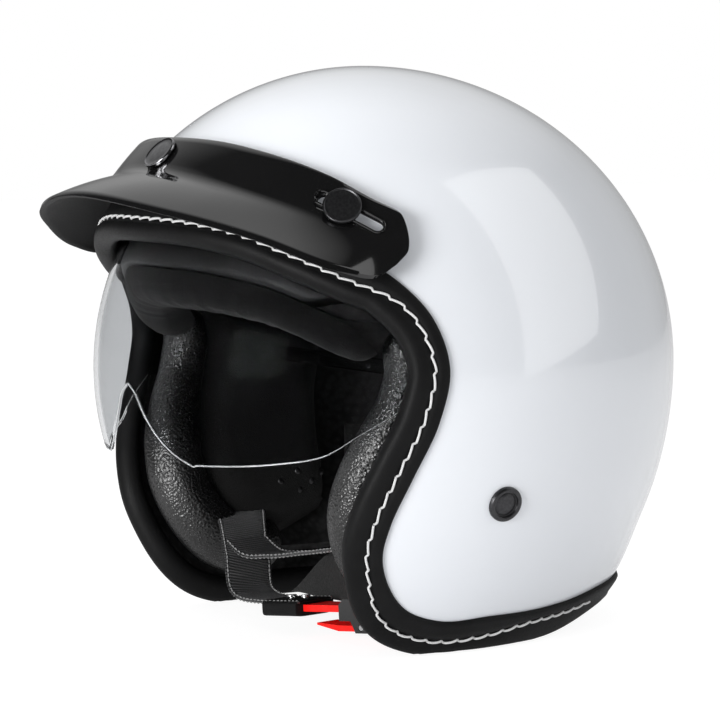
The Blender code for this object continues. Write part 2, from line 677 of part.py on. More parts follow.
def snaps(finish):
    """Studs riveted through the shell, and caps whose sockets grip them through the peak."""
    under = -(SHELL_WALL + SNAP_WASHER_GAP)
    stud_top = FIT_GAP + SNAP_STUD_HEIGHT
    socket = stud_top + FIT_GAP
    neck = PEAK_STANDOFF - 2 * FIT_GAP
    head = PEAK_STANDOFF + PEAK_THICKNESS + FIT_GAP
    for name, spot in fastener_spots().items():
        if not name.startswith("snap"):
            continue
        side = name.split("_")[1]
        axis = shell_normal(spot)
        stud = [(0, under - SNAP_WASHER_THICKNESS), (SNAP_WASHER_RADIUS, under - SNAP_WASHER_THICKNESS),
                (SNAP_WASHER_RADIUS, under), (SNAP_POST_RADIUS, under), (SNAP_POST_RADIUS, FIT_GAP),
                (SNAP_STUD_RADIUS, FIT_GAP), (SNAP_STUD_RADIUS, stud_top), (0, stud_top)]
        turned(f"snap_stud_{side}", stud, finish["steel"], spot, axis)
        rim, crown = head + SNAP_CAP_HEIGHT * 0.45, head + SNAP_CAP_HEIGHT
        cap = [(0, socket), (SNAP_SOCKET_RADIUS, socket), (SNAP_SOCKET_RADIUS, neck),
               (SNAP_SHANK_RADIUS, neck), (SNAP_SHANK_RADIUS, head), (SNAP_CAP_RADIUS, head),
               (SNAP_CAP_RADIUS, rim), (SNAP_CAP_RADIUS * 0.86, head + SNAP_CAP_HEIGHT * 0.9),
               (SNAP_CAP_RADIUS * 0.5, crown), (0, crown)]
        turned(f"snap_cap_{side}", cap, finish["dark_metal"], spot, axis)


def visor_blank(name, inset, finish):
    """Ellipsoid of revolution about the visor's axis, inset from the shell."""
    half, radius = SHELL_HALF_WIDTH - inset, SHELL_ROUND - inset
    slices, sides = 24, 38
    profile = [(0 if k in (0, slices) else radius * sin(pi * k / slices), -half * cos(pi * k / slices))
               for k in range(slices + 1)]
    return turned(name, profile, finish, (0, 0, 0), (1, 0, 0), sides)


def sun_visor(finish):
    """Clear lens on two arms: a layer of the blank, trimmed to its side outline and nose arch."""
    lens = visor_blank("sun_visor", VISOR_INSET, finish["lens"])
    cut(lens, visor_blank("visor_inside", VISOR_INSET + VISOR_THICKNESS, None))
    out = SHELL_ROUND + 0.01
    rise = radians(VISOR_TOP_ANGLE)
    round_eye = [radians(a) for a in range(-100, 130, 20)]
    eye = [(VISOR_EYE_RADIUS * cos(a), VISOR_EYE_RADIUS * sin(a)) for a in round_eye]
    lower = curve_through([(-0.050, -0.0095, 0), (-0.063, -0.0185, 0), (-0.073, -0.0265, 0),
                           (-0.088, -0.0305, 0), (-0.110, -VISOR_TIP_DROP, 0)], 4)
    outline = eye + [(-out * cos(rise), out * sin(rise)), (-out * 1.2, out * sin(rise)),
                     (-out * 1.2, -VISOR_TIP_DROP)]
    outline += [(y, z) for y, z, _ in lower[::-1]]
    along_x = Matrix(((0, 0, 1, 0), (1, 0, 0, 0), (0, 1, 0, 0), (0, 0, 0, 1)))
    cut(lens, plate("visor_outline", outline, 0.3, None, along_x, -0.15), "INTERSECT")
    arch = curve_through([(0, NOSE_ARCH_HEIGHT, 0), (0.0048, -0.0051, 0), (0.0103, -0.0136, 0),
                          (0.0165, -0.0217, 0), (0.0245, -0.0288, 0),
                          (NOSE_ARCH_HALF, -VISOR_TIP_DROP, 0)], 3)
    right = [(x, z) for x, z, _ in arch]
    low = -VISOR_TIP_DROP - 0.02
    outline = right + [(NOSE_ARCH_HALF, low), (-NOSE_ARCH_HALF, low)] + [(-x, z) for x, z in right[:0:-1]]
    along_y = Matrix(((1, 0, 0, 0), (0, 0, -1, 0), (0, 1, 0, 0), (0, 0, 0, 1)))
    cut(lens, plate("nose_arch", outline, 0.08, None, along_y, 0.07))
    cut(lens, cutter_rod("visor_eyes", (0, 0, 0), (1, 0, 0), PIVOT_SHANK_RADIUS + PIVOT_PLAY, -0.13, 0.13))


def bracket_bottom():
    return VISOR_POLE - VISOR_THICKNESS - BRACKET_GAP - BRACKET_THICKNESS - BRACKET_STEP


def visor_pivots(finish):
    """Brackets set in the foam and the screws that the visor turns on."""
    seat = VISOR_POLE - VISOR_THICKNESS - BRACKET_GAP
    bottom = bracket_bottom()
    flange = seat - BRACKET_STEP
    bore = PIVOT_SHANK_RADIUS + FIT_GAP
    head = VISOR_POLE + FIT_GAP
    for side, sign in SIDES:
        disc = [(bore, bottom), (BRACKET_RADIUS, bottom), (BRACKET_RADIUS, flange),
                (BRACKET_BOSS_RADIUS, flange), (BRACKET_BOSS_RADIUS, seat), (bore, seat)]
        turned(f"visor_bracket_{side}", disc, finish["moulding"], (0, 0, 0), (sign, 0, 0), 24)
        crown = head + PIVOT_HEAD_HEIGHT
        screw = [(0, bottom), (PIVOT_SHANK_RADIUS, bottom), (PIVOT_SHANK_RADIUS, head),
                 (PIVOT_HEAD_RADIUS, head), (PIVOT_HEAD_RADIUS, head + 0.6 * PIVOT_HEAD_HEIGHT),
                 (0.7 * PIVOT_HEAD_RADIUS, crown), (0, crown)]
        turned(f"visor_screw_{side}", screw, finish["steel"], (0, 0, 0), (sign, 0, 0))


def strap_anchors(finish):
    """Rivets through the shell and the plates that carry the strap inside it."""
    plate_top = -(SHELL_WALL + ANCHOR_PLATE_GAP)
    plate_low = plate_top - ANCHOR_PLATE_THICKNESS
    tail = plate_low - FIT_GAP
    recess = 0.62 * RIVET_HEAD_RADIUS
    for side, sign in SIDES:
        spot = fastener_spots()[f"anchor_{side}"]
        axis = shell_normal(spot)
        flange = 1.4 * RIVET_SHANK_RADIUS
        rivet = [(0, tail - 0.0012), (flange, tail - 0.0012), (flange, tail), (RIVET_SHANK_RADIUS, tail),
                 (RIVET_SHANK_RADIUS, FIT_GAP), (RIVET_HEAD_RADIUS, FIT_GAP),
                 (RIVET_HEAD_RADIUS, 0.6 * RIVET_HEAD_HEIGHT), (0.9 * RIVET_HEAD_RADIUS, RIVET_HEAD_HEIGHT),
                 (recess, RIVET_HEAD_HEIGHT), (recess, 0.4 * RIVET_HEAD_HEIGHT), (0, 0.4 * RIVET_HEAD_HEIGHT)]
        turned(f"strap_rivet_{side}", rivet, finish["dark_metal"], spot, axis)
        at = facing(spot + axis * plate_low, axis) @ Matrix.Translation((0, -0.2 * ANCHOR_PLATE_LENGTH, 0))
        outline = rounded(ANCHOR_PLATE_WIDTH, ANCHOR_PLATE_LENGTH, 0.25 * ANCHOR_PLATE_WIDTH)
        made = plate(f"strap_anchor_{side}", outline, ANCHOR_PLATE_THICKNESS, finish["steel"], at)
        bore = RIVET_SHANK_RADIUS + FIT_GAP
        cut(made, cutter_rod(f"strap_anchor_{side}_hole", spot, axis, bore, -0.02, 0.02))


def strap_route(sign):
    """Middle line of one side's webbing, from its anchor plate through foam and pad to the buckle."""
    spot = shell_spot(sign * ANCHOR_ANGLE, ANCHOR_HEIGHT)
    axis = shell_normal(spot)
    down = -sign * unit(np.cross(axis, (0, 1, 0)))
    below = SHELL_WALL + ANCHOR_PLATE_GAP + ANCHOR_PLATE_THICKNESS + 3 * FIT_GAP + STRAP_THICKNESS / 2
    start = spot - axis * below + down * (1.4 * RIVET_SHANK_RADIUS + 2 * FIT_GAP)
    way = list(STRAP_WAY) + ([STRAP_DROP] if sign > 0 else list(CHIN_LOOP))
    route = [start, start + down * 0.007 - axis * 0.0010 - np.array((0, 0.0010, 0))]
    route += [np.array((sign * (SHELL_HALF_WIDTH - inset), y, z)) for inset, y, z in way]
    at = buckle_frame()
    if sign > 0:
        turn, rear = BUCKLE_BEND, -BUCKLE_LENGTH / 2 - 2 * FIT_GAP
        ends = [(rear - turn, 0, 1.2 * turn), (rear - 0.72 * turn, 0, 0.36 * turn), (rear - 0.3 * turn, 0, 0),
                (rear, 0, 0)]
    else:
        lift = TONGUE_THICKNESS / 2 + FIT_GAP + STRAP_THICKNESS / 2
        first, last = STRAP_RIVET_PLACES
        places = (last + STRAP_END, (first + last) / 2, first - STRAP_END)
        ends = [(BUCKLE_LENGTH / 2 + far, 0, lift) for far in places]
    return route + [np.array(at @ Vector(end)) for end in ends]


def ribbon(name, route, finish, play=0.0, count=30):
    """Webbing along a route, or the way it needs with some play, its width level front to back."""
    width, thickness = STRAP_WIDTH + 2 * play, STRAP_THICKNESS + 2 * play
    path = evenly(curve_through(route, 8), count)
    along = unit(np.gradient(path, axis=0))
    wide = np.array((0.0, 1.0, 0.0)) - along * along[:, 1:2]
    wide = unit(wide) * width / 2
    thick = unit(np.cross(along, wide)) * thickness / 2
    corners = [path + wide + thick, path - wide + thick, path - wide - thick, path + wide - thick]
    made = sweep(name, list(np.stack(corners, axis=1)), finish)
    made.modifiers.new("flat_faces", "TRIANGULATE")
    return made


def buckle_frame():
    """Buckle's own axes: X along the strap towards the chin, Y across it, Z up to the chin."""
    along = Vector(BUCKLE_ALONG).normalized()
    across = (Vector((0, 1, 0)) - along * along.y).normalized()
    up = along.cross(across)
    if up.z < 0:
        across, up = -across, -up
    made = Matrix((along, across, up)).transposed().to_4x4()
    made.translation = Vector((SHELL_HALF_WIDTH - BUCKLE_INSET, BUCKLE_FRONT, BUCKLE_DROP))
    return made


def chin_straps(finish):
    for side, sign in SIDES:
        ribbon(f"chin_strap_{side}", strap_route(sign), finish["webbing"])


def local_build(name, outline, width, finish, at):
    """Solid with an (x, z) outline in the buckle's frame, width wide across it."""
    lie = at @ Matrix(((1, 0, 0, 0), (0, 0, -1, 0), (0, 1, 0, 0), (0, 0, 0, 1)))
    return plate(name, outline, width, finish, lie, -width / 2)


def box(name, low, high, finish, at):
    corners = [(low[0], low[1]), (high[0], low[1]), (high[0], high[1]), (low[0], high[1])]
    return plate(name, corners, high[2] - low[2], finish, at, low[2])


def buckle(finish):
    """Ratchet buckle: open-ended housing, toothed tongue, sprung lever with a pawl on its pin."""
    at = buckle_frame()
    half, wide, tall = BUCKLE_LENGTH / 2, BUCKLE_WIDTH / 2, BUCKLE_HEIGHT / 2
    ear_low, ear_half, chamfer = LEVER_PIN_Z - LEVER_EYE_RADIUS, 1.4 * LEVER_EYE_RADIUS, 0.0025
    rear, front = LEVER_PIN_X - ear_half, LEVER_PIN_X + ear_half
    side_outline = [(-half, -tall), (rear - chamfer, -tall), (rear, ear_low), (front, ear_low),
                    (front + chamfer, -tall), (half, -tall), (half, tall - chamfer), (half - chamfer, tall),
                    (chamfer - half, tall), (-half, tall - chamfer)]
    housing = local_build("buckle_housing", side_outline, BUCKLE_WIDTH, finish["gloss_black"], at)
    inner = wide - BUCKLE_WALL
    cut(housing, box("buckle_bore", (-half + 2 * BUCKLE_WALL, -inner, -tall + BUCKLE_WALL),
                     (half + 0.01, inner, tall - BUCKLE_WALL), None, at))
    cut(housing, box("buckle_ear_gap", (LEVER_PIN_X - 0.02, -inner, ear_low - 0.01),
                     (LEVER_PIN_X + 0.03, inner, FIT_GAP - tall), None, at))
    pawl = LEVER_PIN_X + PAWL_X
    cut(housing, box("buckle_window", (pawl - 0.0035, -LEVER_WIDTH / 2 - 2 * FIT_GAP, -tall - 0.01),
                     (pawl + 0.0040, LEVER_WIDTH / 2 + 2 * FIT_GAP, 0), None, at))
    pin_spot = at @ Vector((LEVER_PIN_X, 0, LEVER_PIN_Z))
    across = at.to_3x3() @ Vector((0, 1, 0))
    cut(housing, cutter_rod("buckle_pin_hole", pin_spot, across, LEVER_PIN_RADIUS + FIT_GAP, -0.02, 0.02, 16))
    turned("lever_pin", [(0, -wide), (LEVER_PIN_RADIUS, -wide), (LEVER_PIN_RADIUS, wide), (0, wide)],
           finish["steel"], pin_spot, across, 16)
    ratchet_tongue(at, finish)
    buckle_lever(at, pin_spot, across, finish)
    lever_spring(at, finish)


def lever_spring(at, finish):
    """Coil on the pin beside the lever, one leg under the housing and one along the lever."""
    coil = LEVER_PIN_RADIUS + 2 * FIT_GAP + SPRING_WIRE / 2
    first = LEVER_WIDTH / 2 + 2 * FIT_GAP + SPRING_WIRE / 2
    path = [(SPRING_LEG, first, coil)]
    steps = 10
    for k in range(SPRING_TURNS * steps + 1):
        turn = tau * k / steps
        path.append((coil * sin(turn), first + SPRING_PITCH * k / steps, coil * cos(turn)))
    path.append((-SPRING_LEG, path[-1][1], coil))
    line = np.array(path)
    along = unit(np.gradient(line, axis=0))
    side = np.tile((0.0, 1.0, 0.0), (len(line), 1)) - along * along[:, 1:2]
    side = unit(side) * SPRING_WIRE / 2
    rise = np.cross(along, side)
    rings = np.stack([line + side * cos(tau * k / 6) + rise * sin(tau * k / 6) for k in range(6)], axis=1)
    spot = Vector((LEVER_PIN_X, 0, LEVER_PIN_Z))
    placed = [[at @ (spot + Vector(point)) for point in ring] for ring in rings]
    sweep("lever_spring", placed, finish["steel"])


def ratchet_tongue(at, finish):
    """Toothed strip that runs in the housing, with the webbing riveted on its outer end."""
    end = BUCKLE_LENGTH / 2 + STRAP_RIVET_PLACES[1] + 0.004
    start = end - TONGUE_LENGTH
    low, high = -TONGUE_THICKNESS / 2, TONGUE_THICKNESS / 2
    outline = [(end, low), (end, high), (start, high), (start, low + TOOTH_HEIGHT)]
    teeth = int((BUCKLE_LENGTH / 2 + 0.006 - start) / TOOTH_PITCH)
    for k in range(teeth):
        outline.append((start + (k + 0.15) * TOOTH_PITCH, low))
        outline.append((start + (k + 1) * TOOTH_PITCH, low + TOOTH_HEIGHT))
    outline.append((start + (teeth + 0.15) * TOOTH_PITCH, low))
    tongue = local_build("ratchet_tongue", outline, TONGUE_WIDTH, finish["red"], at)
    rivet_high = high + 2 * FIT_GAP + STRAP_THICKNESS
    axis = at.to_3x3() @ Vector((0, 0, 1))
    for number, far in enumerate(STRAP_RIVET_PLACES, 1):
        spot = at @ Vector((BUCKLE_LENGTH / 2 + far, 0, 0))
        shank = 0.6 * STRAP_RIVET_RADIUS
        cut(tongue, cutter_rod(f"tongue_hole_{number}", spot, axis, shank + FIT_GAP, -0.01, 0.01, 16))
        cut(bpy.data.objects["chin_strap_right"],
            cutter_rod(f"strap_hole_{number}", spot, axis, shank + FIT_GAP, -0.01, 0.01, 16))
        head = STRAP_RIVET_RADIUS
        profile = [(0, low - FIT_GAP - 0.0008), (head, low - FIT_GAP - 0.0008), (head, low - FIT_GAP),
                   (shank, low - FIT_GAP), (shank, rivet_high + FIT_GAP), (head, rivet_high + FIT_GAP),
                   (head, rivet_high + 0.0012), (0, rivet_high + 0.0012)]
        turned(f"tongue_rivet_{number}", profile, finish["steel"], spot, axis, 16)


def buckle_lever(at, pin_spot, across, finish):
    """Red release lever: an eye on the pin, a pull tab below the housing and a pawl into the teeth."""
    eye, top = LEVER_EYE_RADIUS, LEVER_THICKNESS - LEVER_EYE_RADIUS
    tooth_low = -LEVER_PIN_Z - TONGUE_THICKNESS / 2
    outline = [(eye * cos(radians(a)), eye * sin(radians(a))) for a in range(60, 271, 30)]
    outline += [(0.6 * LEVER_REACH, -eye), (LEVER_REACH, LEVER_LIFT - eye),
                (LEVER_REACH, LEVER_LIFT - 0.6 * eye), (0.6 * LEVER_REACH, top), (PAWL_X + 0.0024, top),
                (PAWL_X + 0.0008, tooth_low - FIT_GAP), (PAWL_X - 0.0008, tooth_low - FIT_GAP),
                (PAWL_X - 0.0020, top), (1.5 * eye, top)]
    lie = at.to_3x3().to_4x4()
    lever = local_build("buckle_lever", outline, LEVER_WIDTH, finish["red"], lie)
    lever.location = pin_spot
    cut(lever, cutter_rod("lever_bore", pin_spot, across, LEVER_PIN_RADIUS + FIT_GAP, -0.02, 0.02, 16))


def main():
    clear_scene()
    helmet = bpy.data.objects.new("helmet", None)
    bpy.context.collection.objects.link(helmet)
    brim_front = np.min(peak_lines()[2][:, 1])
    helmet.location = (0, -(SHELL_REAR + brim_front) / 2, REST_DROP)
    finish = {
        "shell": material("white_gloss_shell", (0.86, 0.87, 0.90), 0.08),
        "edging": material("black_edge_leather", (0.020, 0.020, 0.021), 0.5),
        "foam": material("black_foam", (0.030, 0.030, 0.031), 0.9),
        "moulding": material("black_moulding", (0.035, 0.035, 0.037), 0.45),
        "fabric": material("black_lining", (0.018, 0.018, 0.019), 0.95),
        "leather": material("black_pad_leather", (0.020, 0.020, 0.021), 0.55),
        "gloss_black": material("black_gloss", (0.012, 0.012, 0.013), 0.12),
        "lens": material("clear_lens", (0.80, 0.82, 0.84), 0.03, 0.0, 0.35),
        "dark_metal": material("dark_snap_metal", (0.08, 0.08, 0.085), 0.35, 0.8),
        "steel": material("steel", (0.60, 0.60, 0.61), 0.3, 1.0),
        "webbing": material("black_webbing", (0.022, 0.022, 0.023), 0.85),
        "red": material("red_plastic", (0.75, 0.01, 0.01), 0.35),
    }
    shell_and_edging(finish)
    foam_liner(finish)
    brow_plate(finish)
    crown_pad(finish)
    forehead_pad(finish)
    cheek_pads(finish)
    neck_roll(finish)
    peak(finish)
    snaps(finish)
    sun_visor(finish)
    visor_pivots(finish)
    strap_anchors(finish)
    chin_straps(finish)
    buckle(finish)


main()
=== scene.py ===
"""Looks of the open face helmet: finishes, stitching, padding and webbing, in a plain studio.

The pieces repeat the helmet's own lines about the middle of the shell, which is the visor's axis,
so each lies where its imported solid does. Metres, +Z up, the face opening looks along -Y.
"""

import json
from math import cos, pi, radians, sin, sqrt, tau

import bmesh
import bpy
import numpy as np
from mathutils import Matrix, Vector

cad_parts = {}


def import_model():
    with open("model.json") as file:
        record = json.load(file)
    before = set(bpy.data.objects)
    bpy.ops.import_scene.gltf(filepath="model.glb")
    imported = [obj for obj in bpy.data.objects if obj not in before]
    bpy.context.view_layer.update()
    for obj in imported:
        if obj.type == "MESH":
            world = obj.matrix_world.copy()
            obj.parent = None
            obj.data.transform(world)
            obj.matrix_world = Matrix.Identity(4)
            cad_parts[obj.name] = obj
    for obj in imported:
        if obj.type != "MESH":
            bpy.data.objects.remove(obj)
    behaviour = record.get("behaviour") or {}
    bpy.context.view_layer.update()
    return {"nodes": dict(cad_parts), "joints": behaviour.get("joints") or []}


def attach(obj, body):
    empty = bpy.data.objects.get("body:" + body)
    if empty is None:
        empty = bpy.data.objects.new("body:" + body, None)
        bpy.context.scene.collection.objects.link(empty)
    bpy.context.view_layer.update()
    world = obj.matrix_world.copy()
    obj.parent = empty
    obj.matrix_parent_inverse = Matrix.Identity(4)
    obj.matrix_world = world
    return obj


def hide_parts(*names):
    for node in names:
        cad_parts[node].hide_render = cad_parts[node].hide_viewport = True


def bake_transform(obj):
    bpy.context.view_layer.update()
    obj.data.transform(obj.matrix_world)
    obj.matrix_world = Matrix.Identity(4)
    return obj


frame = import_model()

MIDDLE = np.array(next(j["pos_m"] for j in frame["joints"] if j["name"] == "visor_hinge"))

# Camera of the photograph: turn, rise, distance, focal length and framing
CAMERA_TURN = 55.56
CAMERA_RISE = 5.33
CAMERA_DISTANCE = 1.3279
CAMERA_LENS = 155.75
CAMERA_SHIFT = (-0.0047, 0.0054)

# Studio: lamps, the soft panel that shows in the gloss, the light all round and the floor
KEY_POWER = 22.5
TOP_POWER = 12.5
PANEL_DISTANCE = 1.4
PANEL_CORNERS = ((1.91, 0.30), (1.06, -0.62), (0.10, -0.11), (-0.06, 0.45))
PANEL_GLOW = 1.3
WORLD_FILL = 0.42
WORLD_DARK = 0.05
BACKDROP_TURN = 30.0
FLOOR_REACH = 4.0
FLOOR_DROP = 0.0005
FLOOR_GLOW = 1.30

# Shell
SHELL_HALF_WIDTH = 0.118
SHELL_ROUND = 0.1265
SHELL_REAR = 0.1405
SHELL_LOWER = 0.149
SHELL_WALL = 0.0035
NAPE_FLARE = 0.0035

# Lip line of the leather edging, as angle from the front and height
BROW_HEIGHT = 0.072
TEMPLE_ANGLE = 62.0
TEMPLE_HEIGHT = 0.043
EAR_ANGLE = 72.0
EAR_HEIGHT = 0.0085
CHEEK_ANGLE = 59.6
CHEEK_HEIGHT = -0.065
LOWER_EDGE_HEIGHT = -0.0955
NAPE_HEIGHT = -0.0905

# Leather edging and its stitches
TRIM_COVER = 0.011
TRIM_LOWER_EXTRA = 0.0045
TRIM_REAR_LESS = 0.0065
TRIM_NOSE = 0.0055
TRIM_RISE = 0.0020
TRIM_DEEP = 0.0080
TRIM_EASE = 0.0016
TRIM_GROOVE = 0.0007
TRIM_NOSE_START = 0.0024
TRIM_NOSE_POINTS = 13
TRIM_BACK_POINTS = 5
STITCH_LINE = 0.0063
STITCH_BROW_EXTRA = 0.0029
STITCH_SIDE_EXTRA = 0.0022
STITCH_LOWER_EXTRA = 0.0035
STITCH_REAR_LESS = 0.0013
STITCH_REAR_END = 0.062
STITCH_PITCH = 0.0071
STITCH_SHARE = 0.80
STITCH_JOG = 0.0010
THREAD_RADIUS = 0.00048

# Sun visor, brow plate and forehead pad
VISOR_INSET = 0.0098
VISOR_THICKNESS = 0.002
VISOR_CLEARANCE = 0.0009
# Radius of the pale bead round the lens's rim, which is a painted highlight
VISOR_RIM_HIGHLIGHT = 0.00034
VISOR_TIP_DROP = 0.0333
VISOR_TOP_ANGLE = 37.0
VISOR_EYE_RADIUS = 0.012
VISOR_EYE_BORE = 0.0032
VISOR_CUT_REACH = 0.15
NOSE_ARCH_HEIGHT = -0.0017
NOSE_ARCH_HALF = 0.033
BROW_PLATE_WALL = 0.0016
BROW_PLATE_REACH = 0.0238
BROW_PLATE_TOP = -0.006
BROW_PLATE_FLANGE = 0.010
BROW_PLATE_ANGLE = 57.0
FOREHEAD_PAD_DEPTH = 0.0145
FOREHEAD_PAD_ANGLE = 69.0
FOREHEAD_PAD_THICKNESS = 0.012
FOREHEAD_SIDES = 33

# Lining
LINER_CROWN_INSET = 0.030
LINER_CHEEK_INSET = 0.020
FOAM_EDGE_GAP = 0.0061
FOAM_SHOWN = 0.008
SOFT_GAP = 0.0021
CROWN_PAD_THICKNESS = 0.009
CROWN_SEAM = 0.0012
CHEEK_PAD_GAP = 0.0030
CHEEK_PAD_TOP = 0.034
CHEEK_PAD_THICKNESS = 0.024
CHEEK_PAD_EDGE = 0.004
CHEEK_PAD_REAR_ANGLE = 110.0
ROLL_REACH = 0.012
ROLL_INSET = 0.027
ROLL_RADIUS = 0.0105
ROLL_LOWER_EXTRA = 0.0025
NECK_ROLL_THICKNESS = 0.018
NECK_ROLL_TOP = -0.045
NECK_ROLL_START = 118.0
NECK_SIDES = 29

# Peak and the snaps that hold it
PEAK_STANDOFF = 0.0055
PEAK_THICKNESS = 0.0024
PEAK_BOW = 0.0010
PEAK_CREASE_ROW = 8
PEAK_TOP_ROUND = 0.0022
PEAK_BRIM_ROUND = 0.0080
SLOT_LENGTH = 0.029
SLOT_WIDTH = 0.0056
SLOT_SHIFT = 0.0035
SLOT_RIM = 0.0005
SNAP_RISE = 0.0132
SNAP_SIDE_ANGLE = 51.0
SNAP_SIDE_DROP = 0.0178
SNAP_CAP_RADIUS = 0.0077
SNAP_CAP_HEIGHT = 0.0022
SNAP_STEM_RADIUS = 0.0023

# Chin strap, its anchors and the buckle. The strap's way and the buckle's place are given as (inset
# from the shell's side, y, z), the spare end and the tab as points about the shell's middle.
FIT_GAP = 0.0003
ANCHOR_ANGLE = 85.6
ANCHOR_HEIGHT = -0.0467
ANCHOR_PLATE_GAP = 0.0021
ANCHOR_PLATE_THICKNESS = 0.0015
RIVET_HEAD_RADIUS = 0.0073
RIVET_HEAD_HEIGHT = 0.0018
RIVET_SHANK_RADIUS = 0.0035
HEAD_SINK = 0.0005
STRAP_WIDTH = 0.022
STRAP_THICKNESS = 0.0016
STRAP_WAY = ((0.0255, -0.0118, -0.0640), (0.0460, -0.0180, -0.0665))
STRAP_DROP = (0.0495, -0.0225, -0.0765)
CHIN_LOOP = ((0.068, -0.030, -0.0720), (0.084, -0.0375, -0.0835), (0.097, -0.0430, -0.0965))
SPARE_END = ((-0.0405, -0.0340, -0.0775), (-0.0300, -0.0330, -0.0820), (-0.0160, -0.0290, -0.0815),
             (0.0040, -0.0230, -0.0780), (0.0280, -0.0185, -0.0735), (0.0540, -0.0180, -0.0705),
             (0.0705, -0.0180, -0.0690))
RIB_PITCH = 0.0014
RIB_DEPTH = 0.00036
RIB_SHARE = 0.82
SEWN_PITCH = 0.0022
SEWN_THREAD = 0.00026
SEWN_WAVE = 0.0003
BUCKLE_PLACE = (0.0660, -0.0293, -0.0948)
BUCKLE_ALONG = (-0.96, -0.225, -0.10)
BUCKLE_LENGTH = 0.020
BUCKLE_BEND = 0.0070
TONGUE_THICKNESS = 0.0028
TONGUE_RIVETS = (0.0297, 0.0377)
TONGUE_END = 0.004
STRAP_END = 0.0055
TAB_PATH = ((0.0655, -0.0195, -0.0815), (0.048, -0.0185, -0.0860), (0.030, -0.0200, -0.0872),
            (0.012, -0.0215, -0.0878), (-0.004, -0.0225, -0.0930), (-0.022, -0.0235, -0.0992))
TAB_HALF = 0.0112
TAB_PLUMP = 0.0016

# Studs on the cheek panels, as (y, z)
PANEL_STUDS = ((-0.0029, -0.0569), (0.0067, -0.0531), (0.0078, -0.0613), (0.0143, -0.0577),
               (0.0213, -0.0546), (0.0279, -0.0514))
PANEL_STUD_RADIUS = 0.0017

# Simulated cloth that swells the pads between the seams that hold them
CLOTH_FRAMES = 20
CLOTH_PRESSURE = 1500.0
CLOTH_MASS = 0.002
CLOTH_STIFFNESS = 0.5
CLOTH_BENDING = 0.05
CLOTH_CAP = 0.0012

POLE = np.array((0.0, cos(radians(40)), sin(radians(40))))
SIDES = (("left", 1), ("right", -1))


def smooth(value, start, end):
    """Ramp from 0 at start to 1 at end, level at both."""
    share = np.clip((np.asarray(value, float) - start) / (end - start), 0.0, 1.0)
    return share * share * (3 - 2 * share)


def curve_through(points, per_span=12, closed=False):
    """Smooth curve through the points, as an array."""
    pts = np.asarray(points, float)
    if closed:
        pts = np.vstack([pts[-2:], pts, pts[:3]])
    steps = np.maximum(np.linalg.norm(np.diff(pts, axis=0), axis=1), 1e-9)
    at = np.concatenate([[0.0], np.cumsum(steps)])
    slope = np.gradient(pts, at, axis=0)
    first, last = (2, len(pts) - 3) if closed else (0, len(pts) - 1)
    made = []
    for i in range(first, last):
        share = np.linspace(0, 1, per_span, endpoint=False)[:, None]
        span = at[i + 1] - at[i]
        made.append((2 * share**3 - 3 * share**2 + 1) * pts[i]
                    + (share**3 - 2 * share**2 + share) * span * slope[i]
                    + (3 * share**2 - 2 * share**3) * pts[i + 1]
                    + (share**3 - share**2) * span * slope[i + 1])
    if not closed:
        made.append(pts[-1:])
    return np.vstack(made)


def evenly(curve, count, closed=False):
    """The curve again with count points at equal steps along it."""
    line = np.vstack([curve, curve[:1]]) if closed else np.asarray(curve)
    along = lengths(line)
    wanted = np.linspace(0, along[-1], count, endpoint=not closed)
    return np.stack([np.interp(wanted, along, line[:, k]) for k in range(3)], axis=1)


def lengths(line):
    """Distance along a line of points, at each point."""
    return np.concatenate([[0.0], np.cumsum(np.linalg.norm(np.diff(line, axis=0), axis=1))])


def unit(vectors):
    """The vectors with a length of 1."""
    vectors = np.asarray(vectors, float)
    return vectors / np.linalg.norm(vectors, axis=-1, keepdims=True)


def front_angle(points):
    """Angle of each point from the front, in degrees, towards the wearer's left."""
    return np.degrees(np.arctan2(points[:, 0], -points[:, 1]))


def rounded(share, power, least=0.0):
    """1 in the middle of a run from 0 to 1, drawn in to least at both ends."""
    return np.sqrt(np.clip(1 - np.abs(2 * share - 1) ** power, least, 1))


def shell_axes(points):
    """Half axes of the shell that rule at each point, by its front, rear, top and lower parts."""
    points = np.asarray(points, float)
    axes = np.empty_like(points)
    axes[..., 0] = SHELL_HALF_WIDTH
    axes[..., 1] = np.where(points[..., 1] < 0, SHELL_ROUND, SHELL_REAR)
    axes[..., 2] = np.where(points[..., 2] > 0, SHELL_ROUND, SHELL_LOWER)
    return axes


def on_shell(points, inset=0.0):
    """Points moved along their rays from the middle until they lie inset below the shell's face."""
    rays = unit(points)
    radius = 1 / np.linalg.norm(rays / shell_axes(rays), axis=-1, keepdims=True)
    return rays * (radius - np.broadcast_to(np.asarray(inset, float)[..., None], radius.shape))


def shell_normal(points):
    """Outward directions of the shell's face at the points."""
    return unit(np.asarray(points, float) / shell_axes(points) ** 2)


def shell_spot(angle, height):
    """Point of the shell's face at an angle from the front (degrees, wearer's left) and a height."""
    turn = radians(angle)
    depth = SHELL_ROUND if cos(turn) > 0 else SHELL_REAR
    tall = SHELL_ROUND if height > 0 else SHELL_LOWER
    flat = 1 / sqrt((sin(turn) / SHELL_HALF_WIDTH) ** 2 + (cos(turn) / depth) ** 2)
    reach = flat * sqrt(1 - (height / tall) ** 2)
    return np.array([reach * sin(turn), -reach * cos(turn), height])


def flared(points):
    """Points of the shell with the outward turn that it has low on the nape."""
    low = smooth(-points[..., 2], 0.064, 0.100) * smooth(points[..., 1], 0.035, 0.095)
    level = points * (1, 1, 0)
    return points + unit(level) * (NAPE_FLARE * low)[..., None]


